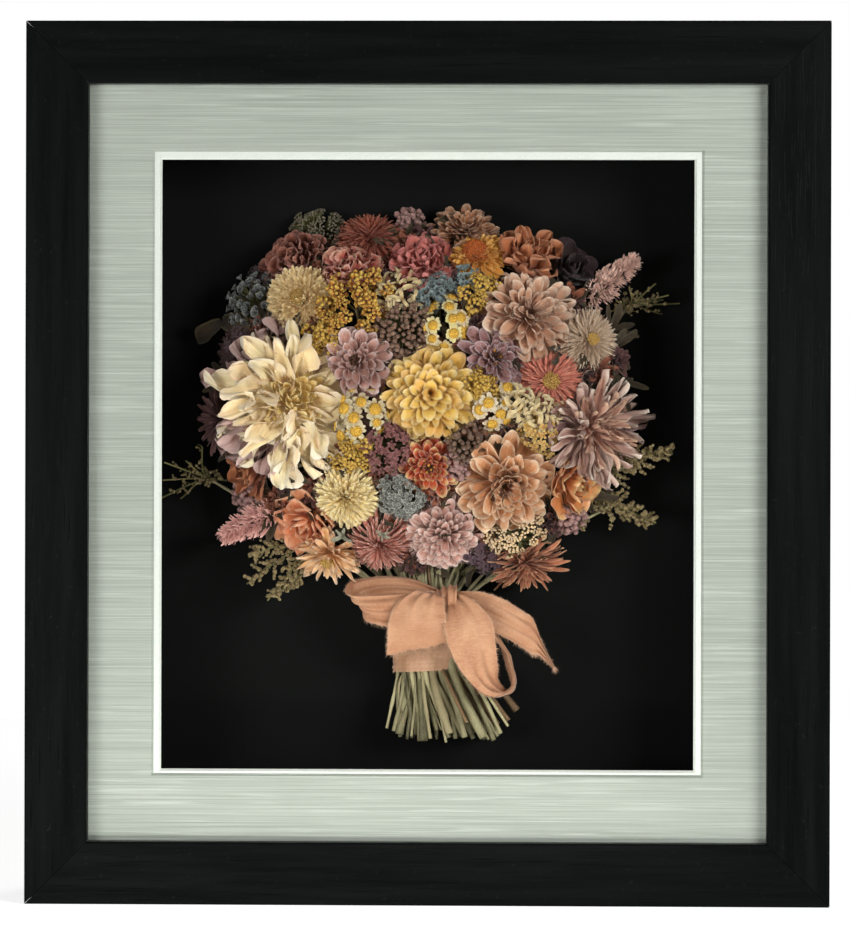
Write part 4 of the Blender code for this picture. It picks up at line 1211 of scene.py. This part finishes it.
def side_shoots(growth, chance, axis, count, length, beads, size, wire=0.00030):
    """Shoots that leave an axis by turns, each with seed heads along it."""
    growth.add(tubes(axis[None], np.full((1, len(axis)), AXIS_RADIUS)), 1, chance=chance)
    for k in range(count):
        share = 0.12 + 0.86 * k / count
        start = axis[int(share * (len(axis) - 1))]
        around = k * 2.4 + chance.uniform(-0.4, 0.4)
        way = np.array((math.cos(around), math.sin(around), chance.uniform(0.6, 1.3)))
        reach = length * (1.1 - 0.75 * share) * chance.uniform(0.7, 1.15)
        bend = chance.uniform(-0.25, 0.25, 3) * reach
        t = np.linspace(0, 1, SHOOT_ROWS)[:, None]
        line = start + way / np.linalg.norm(way) * reach * t + bend * t**2
        growth.add(tubes(line[None, ::2], np.full((1, len(line[::2])), wire), 3), 1, chance=chance)
        at = line[np.linspace(2, SHOOT_ROWS - 1, beads).astype(int)]
        at = at + chance.uniform(-0.35, 0.35, (beads, 3)) * size
        facings = chance.normal(0, 1, (beads, 3))
        facings /= np.linalg.norm(facings, axis=1, keepdims=True)
        sizes = size * chance.uniform(0.6, 1.2, beads)
        growth.add(planted(BEAD, at, facings, sizes, np.zeros(beads)), 0, chance=chance)


for name in ("upper_olive_sprig", "lower_olive_sprig"):
    chance, growth, radius = chance_of(name), Growth(), seats[name][2]
    axis = smooth_line(((0, 0, -2.2 * radius), (0, 0, 0), (0.2 * radius, 0, 3.0 * radius)), 30)
    side_shoots(growth, chance, axis, OLIVE_SHOOTS, 1.7 * radius, 16, 0.0025)
    set_flower(name, growth, [SPRIG, STALK], chance, SPRIG_PROUD, calyx=0)
for name in ("left_tendril", "right_tendril"):
    chance, growth, radius = chance_of(name), Growth(), seats[name][2]
    for fork in range(TENDRIL_FORKS):
        lean = (fork - (TENDRIL_FORKS - 1) / 2) * 0.46 + chance.uniform(-0.1, 0.1)
        far = chance.uniform(2.2, 3.6) * radius
        end = (far * math.sin(lean), chance.uniform(-0.5, 0.5) * radius, far * math.cos(lean))
        axis = smooth_line(((0, 0, -1.2 * radius), (0.1 * end[0], 0, 0.3 * radius), end), 20)
        side_shoots(growth, chance, axis, TENDRIL_SHOOTS, 0.9 * radius, 3, 0.0021, 0.00022)
    set_flower(name, growth, [SPRIG, STALK], chance, SPRIG_PROUD, calyx=0)

# The small stuff between the heads: bits of the same blossom, seed heads and dried leaves, wired in to
# close the gaps. Each kind is one piece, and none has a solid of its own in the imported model.
WIRED_LENGTH = 0.024
WIRED_RADIUS = 0.0006
BEHIND_TIE = np.array((0.0, 0.034, 0.19))


def wired_in(growth, chance, place, finish):
    """A short stem behind a place, which runs back towards the tie."""
    back = BEHIND_TIE - place
    line = place + back / np.linalg.norm(back) * WIRED_LENGTH * np.linspace(0, 1, 5)[:, None]
    line[:, 1] = np.minimum(line[:, 1], BACK_CLEAR_Y)
    growth.add(tubes(line[None], np.full((1, 5), WIRED_RADIUS), 5), finish, chance=chance)


def set_filler(name, growth, finishes):
    """A piece of small stuff, kept between the pane and the backing."""
    for k, (points, finish, own) in enumerate(growth.sheets):
        points[..., 1] = np.clip(points[..., 1], PANE_CLEAR_Y, BACK_CLEAR_Y)
        growth.sheets[k] = (points, finish, own)
    obj = growth.piece(name, finishes)
    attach(obj, "root")


BIT_SUNK = 0.002
SMALL_BITS = {
    "filler_goldenrod": (
        "goldenrod", "lobes", 10, 0.0094, ("94661A", "C0902E", "D8B254", "E0C068"),
        (
            (-0.0514, 0.2943, 0.0120), (0.0354, 0.4045, 0.0110), (0.0350, 0.3400, 0.0090),
            (-0.0700, 0.3720, 0.0100),
        ),
    ),
    "filler_blue_florets": (
        "blue_statice", "funnel", 60, 0.0062, ("56625E", "8E9A98", "9CA6A5", "A6B2B0"),
        ((0.0267, 0.4119, 0.0105), (-0.0007, 0.4025, 0.0100), (0.0085, 0.4085, 0.0080)),
    ),
    "filler_cream_curls": (
        "cream_pom", "curls", 30, 0.0110, ("A87E3C", "DCC492", "E8D6B2", "F0E3C8"),
        ((-0.0200, 0.4045, 0.0150), (0.0755, 0.3230, 0.0125), (0.0608, 0.3297, 0.0105)),
    ),
    "filler_statice": (
        "mauve_yarrow", "four", 44, 0.0052, ("241418", "543840", "6E505A", "7E626A"),
        (
            (0.0407, 0.2229, 0.0120), (0.0300, 0.2290, 0.0100), (-0.1149, 0.4166, 0.0125),
            (-0.1300, 0.3700, 0.0130),
        ),
    ),
    "filler_mauve_buds": (
        "mauve_berries", "bead", 60, 0.0040, ("5A3632", "8E6660", "AA847C", "B48E88"),
        (
            (0.0969, 0.2509, 0.0120), (-0.1236, 0.2669, 0.0120), (0.0180, 0.2860, 0.0100),
            (-0.0134, 0.4546, 0.0100),
        ),
    ),
}
for name, (slot, shape, count, size, colours, bits) in SMALL_BITS.items():
    whole = Growth()
    for across, up, radius in bits:
        growth = Growth()
        chance = spray_of(name, growth, radius, count, size, shape)
        crown, lean = on_dome(across, up, BIT_SUNK)
        facing = np.array((lean[0], -1.0, lean[1]))
        facing /= np.linalg.norm(facing)
        foot = crown - 0.45 * radius * facing
        growth.moved(turned(facing, across * 900), foot)
        whole.sheets += growth.sheets
        wired_in(whole, chance, foot, 2)
    soft = petal_finish(name + "_petals", *colours, 0.2)
    set_filler(name, whole, [soft, soft, STALK])


# Olive goldenrod hangs out under the left plume, and a little on the right, in arching sprigs full of
# small buds. Each sprig is given by where it starts and where it ends.
HANGING = (
    ((-0.086, 0.012, 0.236), (-0.121, 0.006, 0.226)), ((-0.088, 0.010, 0.232), (-0.122, 0.004, 0.208)),
    ((-0.086, 0.010, 0.230), (-0.108, 0.002, 0.197)), ((-0.082, 0.014, 0.230), (-0.094, 0.006, 0.204)),
    ((0.080, 0.014, 0.258), (0.106, 0.006, 0.247)),
)
chance, whole = np.random.default_rng(64), Growth()
for start, end in HANGING:
    growth, way = Growth(), np.array(end) - start
    length = np.linalg.norm(way)
    axis = smooth_line(((0, 0, 0), (0.08 * length, 0, 0.5 * length), (0, 0, length)), 18)
    side_shoots(growth, chance, axis, 16, 0.013, 11, 0.0023)
    growth.moved(turned(way / length, chance.uniform(0, 6)), np.array(start))
    whole.sheets += growth.sheets
set_filler("hanging_goldenrod", whole, [SPRIG, STALK])


# The gaps: leaves and small dark blossoms fill what the heads leave open. Their dark colours are partly
# their own and partly painted shade for the gaps. They are sought by trying places all over the dome.
GAP_TRIES = 2600


def gaps(chance, spacing, sunk, room, reach):
    """Places on the dome where no head is, spaced apart."""
    found = []
    for _ in range(GAP_TRIES):
        around, out = chance.uniform(0, math.tau), math.sqrt(chance.uniform(0, 1)) * reach
        across = DOME_MIDDLE[0] + out * DOME_HALF_WIDTH * math.cos(around)
        up = DOME_MIDDLE[1] + out * DOME_HALF_HEIGHT * math.sin(around)
        place, lean = on_dome(across, up, sunk)
        clear = min(np.linalg.norm(place - middle) - radius for middle, _, radius in seats.values())
        if clear < room or any(np.linalg.norm(place - other) < spacing for other, _ in found):
            continue
        facing = np.array((lean[0], -1.0, lean[1])) + chance.uniform(-0.35, 0.35, 3)
        found.append((place, facing / np.linalg.norm(facing)))
    return found


ROUND_LEAVES = (
    ((-0.140, 0.014, 0.3845), (-0.5, -1.0, 0.1), 0.022),
    ((0.118, 0.004, 0.3350), (0.8, -1.0, 0.1), 0.018),
)
PALE_LEAVES = (
    ((-0.0565, -0.0185, 0.2410), 0.0080),
    ((-0.0300, -0.0190, 0.2420), 0.0050),
)
PALE_FACING = np.array((-0.25, -0.93, -0.27))
chance, growth = np.random.default_rng(41), Growth()
for place, facing, size in ROUND_LEAVES:
    leaf = petals(
        chance, 2, size, 0.9 * size, 0.15, 0.3, form=(0.3, 0.8, 3.0), roll=0.5, ripple=0.15, spread=0.2,
    )
    growth.add(leaf @ turned(np.array(facing) / np.linalg.norm(facing), 2.0).T + place, 0, chance=chance)
for place, size in PALE_LEAVES:
    leaf = petals(
        chance, 6, size, 0.55 * size, 0.45, 0.7, form=(0.4, 0.8, 2.2), roll=0.8, ripple=0.5, crumple=0.12,
        spread=0.2, grid=(9, 5),
    )
    growth.add(leaf @ turned(PALE_FACING, 2.0).T + place, 2, chance=chance)
for place, facing in gaps(chance, 0.0085, 0.013, -0.006, 0.87):
    leaf = petals(
        chance, 5, 0.016, 0.0095, 0.55, 0.5, form=(0.3, 0.8, 2.0), roll=0.8, twist=0.8, ripple=0.3,
        crumple=0.08, spread=0.35, grid=(6, 4),
    )
    growth.add(leaf @ turned(facing, chance.uniform(0, 6)).T + place, 0, chance=chance)
    wired_in(growth, chance, place, 1)
# The dried leaves are near black, partly their own colour and partly painted shade for the gaps that they
# fill.
dark_leaf = petal_finish("dried_leaves", "1A120A", "3A2C1A", "4E4024", "564A2C", 0.4)
pale_leaf = petal_finish("pale_leaves", "5A5238", "96907A", "BCB8A0", "C4C0AA", 0.4)
set_filler("filler_leaves", growth, [dark_leaf, STALK, pale_leaf])

# The blossoms' dark colours likewise stand partly for the shade in the gaps.
ROSETTES = (
    ("filler_rust_blossom", "rust_rose", ("46180E", "8A4A32", "A86A4C", "B87E5E"), 0.024, 52),
    ("filler_plum_blossom", "maroon_dahlia", ("200E10", "54302E", "704844", "805A52"), 0.020, 54),
)
for name, slot, colours, spacing, seed in ROSETTES:
    chance, whole = np.random.default_rng(seed), Growth()
    for place, facing in gaps(chance, spacing, 0.0105, -0.003, 0.84):
        growth, radius = Growth(), chance.uniform(0.009, 0.012)
        ranked(
            growth, chance, radius, 4,
            (8, 1.15, 0.60, 0.1, -0.1, 0.04, 0.0, 0.6, 0.3, CUPPED, 0.4, 0.07, (5, 5)),
            (4, 0.7, 0.45, 1.2, -0.4, 0.02, 0.15, 1.1, 0.3),
        )
        growth.moved(turned(facing, chance.uniform(0, 6)), place)
        whole.sheets += growth.sheets
        wired_in(whole, chance, place, 1)
    set_filler(name, whole, [petal_finish(name + "_petals", *colours), STALK])

# The loose stems: side branches and leaf stalks, trimmed off short. They fill the tie and stand out
# below it, some thick and hollow, some as thin as threads and bent.
FAN_LEFT = -0.029
FAN_WIDTH = 0.081
TIED_LEFT = -0.019
TIED_WIDTH = 0.037
TIED_UP = 0.165
LOOSE_ROWS = 26
TOP_ROWS = 20


def loose_stems(name, finish, lows, count, widths, up, sway, seed):
    """Stems through the tie whose cut ends stand between two places across, at a height up."""
    chance, growth = np.random.default_rng(seed), Growth()
    for k in range(count):
        share = (k + chance.uniform(0.1, 0.9)) / count
        low = np.array((lows[0] + (lows[1] - lows[0]) * share, chance.uniform(-0.010, 0.018), 0.0))
        low[2] = up + 0.010 * chance.random() + 0.007 * abs(share - 0.5)
        spot = (low[0] - FAN_LEFT) / FAN_WIDTH
        tied = np.array((TIED_LEFT + TIED_WIDTH * spot, 0.020 + 0.45 * (low[1] - 0.010), TIED_UP))
        bend = sway * chance.uniform(-1, 1, 3) * (1, 0.6, 0)
        top = tied + ((tied[0] - low[0]) * 0.5 + chance.uniform(-0.012, 0.012), -0.010, 0.075)
        line = smooth_line((low, low * 0.5 + tied * 0.5 + bend, tied, top), LOOSE_ROWS)
        line = np.concatenate((line[:1] + (line[:1] - line[1:2]) * 0.01, line))
        wide = widths[0] + (widths[1] - widths[0]) * chance.random() ** 1.6
        radii = wide * (1 + 0.08 * np.sin(np.arange(len(line)) * 0.7 + chance.uniform(0, 6)))
        node = chance.integers(3, 14)
        radii[node : node + 2] *= 1.18
        radii[0] = wide / 20
        radii[TOP_ROWS:] *= 0.7
        growth.add(tubes(line[None], radii[None], STEM_SIDES + 1), 0, chance=chance)
    set_filler(name, growth, [finish])


loose_stems("loose_stems", dried_stem, (-0.029, 0.056), 20, (0.0009, 0.0031), 0.1005, 0.0030, 71)
loose_stems("thin_stems", dried_stem, (-0.024, 0.050), 12, (0.0004, 0.0009), 0.1040, 0.0060, 73)
brown_stem = stem_finish("brown_stems", "3E2C1E", "8A6A48")
loose_stems("brown_stems", brown_stem, (0.020, 0.066), 6, (0.0012, 0.0028), 0.1120, 0.0020, 72)

# The ribbon: a hand-torn silk of peach dye, cut in two. One length is wound tight round the stems, and
# the other is tied over it in a loose bow, with raw edges that have frayed. Each run of the bow is a
# list of its middle line's places, with half of the ribbon's width there as an arrow across.
RIBBON_WIDTH = 0.038
WOUND_WIDTH = 0.030
WRAP_MIDDLE = (-0.002, 0.021)
WRAP_HALF = (0.0222, 0.0162)
WRAP_LOW = 0.1505
WRAP_HIGH = 0.1870
WRAP_TURNS = 2.3
WRAP_ROWS = 230
WRAP_COLUMNS = 17
BOW_COLUMNS = 25
RAW_END = 0.0008


def silk(name, dark, light):
    """Hand-torn silk: its weft runs across the ribbon, and its raw edges are a little paler, partly their
    own frayed colour and partly a painted highlight.
    """
    material, place = new_finish(name)
    along, across = note(place, "along"), note(place, "across")
    lanes = place.node("ShaderNodeCombineXYZ", None, {"X": across * 2.0, "Y": along * 90.0})
    weft = lanes.noise(1.6, 3, 0.6)
    threads = place.noise(2600, 2)
    cloud = place.noise(55, 3)
    shade = weft * 0.35 + cloud * 0.45 + threads * 0.3
    colour = shade.rise(0.38, 0.72).between(paint(dark), paint(light))
    # A painted highlight lightens both edges of the ribbon a little.
    colour = ((across * across).rise(0.82, 1.0) * 0.12).between(colour, paint("E0BC9C"))
    look = {
        "Base Color": colour,
        "Roughness": weft * 0.2 + 0.48,
        "Normal": (weft * 0.7 + threads * 0.6).bump(0.0002, 0.7),
        "Sheen Weight": 0.3,
        "Sheen Roughness": 0.4,
    }
    return lay(material, look)


def ribbon_run(line, rows, chance, pleats, raw_end):
    """One run of ribbon as a grid of points: its middle line and half its width at each step. It is
    pleated where it is gathered narrower than the ribbon is wide."""
    middles = smooth_line([middle for middle, _ in line], rows)
    halves = smooth_line([half for _, half in line], rows)
    s = np.linspace(-1, 1, BOW_COLUMNS)
    points = middles[:, None] + halves[:, None] * s[:, None]
    ahead = np.gradient(middles, axis=0)
    up = np.cross(ahead, halves)
    up /= np.maximum(np.linalg.norm(up, axis=1, keepdims=True), 1e-9)
    gathered = np.clip(1 - np.linalg.norm(halves, axis=1) / (RIBBON_WIDTH / 2), 0, 1)[:, None]
    t = np.linspace(0, 1, rows)[:, None]
    creases = np.abs(np.sin(s * 4.6 + chance.uniform(0, 6) + 0.9 * np.sin(4 * t)))
    lift = gathered**0.6 * (1.6 * creases**0.7 - 0.9) * (1 - 0.3 * s**2)
    lift = lift + 0.30 * np.sin(3.1 * s + 7 * t + chance.uniform(0, 6)) * np.sin(math.pi * t)
    lift = lift + 0.10 * s**2 * np.sin(38 * t + 3 * s + chance.uniform(0, 6))
    points = points + up[:, None] * (pleats * lift)[..., None]
    if raw_end:
        ragged = RAW_END * chance.uniform(-1, 1, (BOW_COLUMNS, 1))
        points[-1] += ragged * ahead[-1] / np.linalg.norm(ahead[-1])
    return points


THREAD_RADIUS = 0.00008
THREAD_ROWS = 3


def frays(edge, outward, chance, count, length):
    """Loose threads that stand out from a raw edge."""
    at = chance.integers(0, len(edge) - 1, count)
    share = chance.random((count, 1))
    start = edge[at] * (1 - share) + edge[at + 1] * share
    way = outward[at] + chance.normal(0, 0.55, (count, 3))
    way /= np.linalg.norm(way, axis=1, keepdims=True)
    reach = length * chance.uniform(0.25, 1.0, (count, 1)) ** 1.5
    droop = np.array((0, 0, -0.35)) * reach
    t = np.linspace(0, 1, THREAD_ROWS)[None, :, None]
    lines = start[:, None] + way[:, None] * reach[:, None] * t + droop[:, None] * t**2
    return tubes(lines, np.full((count, THREAD_ROWS), THREAD_RADIUS) * (1.15 - t[..., 0]), 3)


chance = np.random.default_rng(9)
around = np.linspace(0.0, WRAP_TURNS * math.tau, WRAP_ROWS)[:, None] + math.pi
s = np.linspace(-1, 1, WRAP_COLUMNS)
climb = np.linspace(0, 1, WRAP_ROWS)[:, None]
band_middle = WRAP_LOW + WOUND_WIDTH / 2 + (WRAP_HIGH - WRAP_LOW - WOUND_WIDTH) * climb
ridges = 0.00030 * np.sin(s * 9 + 2.4 * np.sin(around)) + 0.00018 * np.sin(s * 21 + 3 * around)
swell = 0.0004 * climb + ridges + 0.00035 * np.cos(9 * around)
slope = 0.0016 * np.sin(around + 0.6)
wound = np.stack(
    (
        WRAP_MIDDLE[0] + (WRAP_HALF[0] + swell) * np.cos(around),
        WRAP_MIDDLE[1] + (WRAP_HALF[1] + swell) * np.sin(around),
        band_middle + s * WOUND_WIDTH / 2 + slope,
    ),
    -1,
)
growth = Growth()
growth.add(wound[None], 0, np.zeros(1))
peach_silk = silk("peach_silk", "985E40", "C69672")
sheer_silk = silk("wound_peach_silk", "986C4C", "C09476")
wrap = growth.piece("silk_wrap", [sheer_silk])
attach(wrap, "root")
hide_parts("ribbon_wrap")

LEFT_LOOP = (
    ((0.0115, -0.0060, 0.1985), (0.0000, 0.0000, 0.0045)),
    ((-0.0100, 0.0000, 0.2045), (-0.0010, 0.0020, 0.0075)),
    ((-0.0300, 0.0030, 0.2055), (-0.0030, 0.0030, 0.0080)),
    ((-0.0465, 0.0010, 0.2010), (-0.0050, 0.0030, 0.0095)),
    ((-0.0440, -0.0095, 0.1925), (-0.0070, 0.0005, 0.0090)),
    ((-0.0230, -0.0130, 0.1905), (-0.0060, 0.0000, 0.0105)),
    ((0.0020, -0.0105, 0.1960), (-0.0010, 0.0000, 0.0080)),
    ((0.0120, -0.0085, 0.1985), (0.0000, 0.0000, 0.0045)),
)
FRONT_FALL = (
    ((0.0110, -0.0100, 0.1985), (-0.0035, 0.0000, 0.0045)),
    ((0.0000, -0.0150, 0.2025), (-0.0100, 0.0000, 0.0005)),
    ((-0.0055, -0.0190, 0.1960), (-0.0160, 0.0010, -0.0010)),
    ((-0.0070, -0.0195, 0.1850), (-0.0188, 0.0020, -0.0020)),
    ((-0.0070, -0.0175, 0.1745), (-0.0195, 0.0030, -0.0035)),
    ((-0.0065, -0.0140, 0.1660), (-0.0205, 0.0035, -0.0045)),
)
DROP_LOOP = (
    ((0.0140, -0.0095, 0.1990), (0.0040, 0.0000, 0.0035)),
    ((0.0200, -0.0185, 0.1930), (0.0105, 0.0000, 0.0050)),
    ((0.0270, -0.0225, 0.1810), (0.0150, 0.0010, 0.0045)),
    ((0.0300, -0.0220, 0.1680), (0.0150, 0.0010, 0.0020)),
    ((0.0350, -0.0190, 0.1530), (0.0115, 0.0020, 0.0030)),
    ((0.0425, -0.0150, 0.1410), (0.0050, 0.0055, 0.0045)),
    ((0.0520, -0.0110, 0.1362), (0.0020, 0.0080, 0.0010)),
    ((0.0575, -0.0085, 0.1425), (-0.0010, 0.0090, -0.0010)),
    ((0.0550, -0.0075, 0.1560), (-0.0015, 0.0085, -0.0010)),
    ((0.0490, -0.0070, 0.1690), (-0.0010, 0.0070, 0.0010)),
    ((0.0360, -0.0065, 0.1850), (0.0000, 0.0045, 0.0030)),
    ((0.0160, -0.0060, 0.1975), (0.0000, 0.0025, 0.0030)),
)
TAIL = (
    ((0.0140, -0.0070, 0.1990), (0.0020, 0.0000, 0.0050)),
    ((0.0300, -0.0100, 0.1950), (0.0045, 0.0010, 0.0085)),
    ((0.0470, -0.0105, 0.1880), (0.0030, 0.0010, 0.0108)),
    ((0.0610, -0.0090, 0.1800), (0.0025, 0.0010, 0.0104)),
    ((0.0695, -0.0075, 0.1740), (0.0005, 0.0000, 0.0112)),
    ((0.0755, -0.0065, 0.1655), (0.0010, 0.0000, 0.0040)),
    ((0.0842, -0.0055, 0.1532), (0.0004, 0.0000, 0.0006)),
)
KNOT_MIDDLE = np.array((0.0125, -0.0060, 0.1980))
KNOT_RADIUS = 0.0095
KNOT_HALF = (0.0068, 0.0, 0.0016)
KNOT = [
    (KNOT_MIDDLE + (0.0, -KNOT_RADIUS * math.cos(turn), KNOT_RADIUS * math.sin(turn)), KNOT_HALF)
    for turn in np.linspace(-2.6, 2.6, 9)
]
BOW_RUNS = (
    (LEFT_LOOP, 70, 0.0034, False), (FRONT_FALL, 56, 0.0036, True), (DROP_LOOP, 96, 0.0028, False),
    (TAIL, 60, 0.0022, True), (KNOT, 40, 0.0024, False),
)
HIDDEN_ROWS = 8
EDGE_THREADS = 6
EDGE_FRAY = 0.0028
END_THREADS = 160
END_FRAY = 0.0038
WOUND_ROWS_SEEN = 110
WOUND_THREADS = 320
WOUND_FRAY = 0.0016


def outward_of(edge, inner):
    """The directions across the ribbon and out over its edge."""
    return (edge - inner) / np.maximum(np.linalg.norm(edge - inner, axis=1, keepdims=True), 1e-9)


growth, loose = Growth(), Growth()
for run, rows, pleats, raw_end in BOW_RUNS:
    points = ribbon_run(run, rows, chance, pleats, raw_end)
    growth.add(points[None], 0, np.zeros(1))
    if run is KNOT:
        continue
    for edge, inner in ((points[:, 0], points[:, 1]), (points[:, -1], points[:, -2])):
        edge, outward = edge[HIDDEN_ROWS:], outward_of(edge, inner)[HIDDEN_ROWS:]
        loose.add(frays(edge, outward, chance, EDGE_THREADS * rows, EDGE_FRAY), 0, chance=chance)
    if raw_end:
        outward = outward_of(points[-1], points[-2])
        loose.add(frays(points[-1], outward, chance, END_THREADS, END_FRAY), 0, chance=chance)
for edge, way in ((wound[:WOUND_ROWS_SEEN, 0], -1.0), (wound[-WOUND_ROWS_SEEN:, -1], 1.0)):
    outward = np.tile((0.0, 0.0, way), (len(edge), 1))
    loose.add(frays(edge, outward, chance, WOUND_THREADS, WOUND_FRAY), 0, chance=chance)
bow = growth.piece("silk_bow", [peach_silk])
fray = loose.piece("silk_frays", [silk("frayed_silk", "BE8E6E", "DEB698")])
for piece in (bow, fray):
    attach(piece, "root")
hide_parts("ribbon_bow")
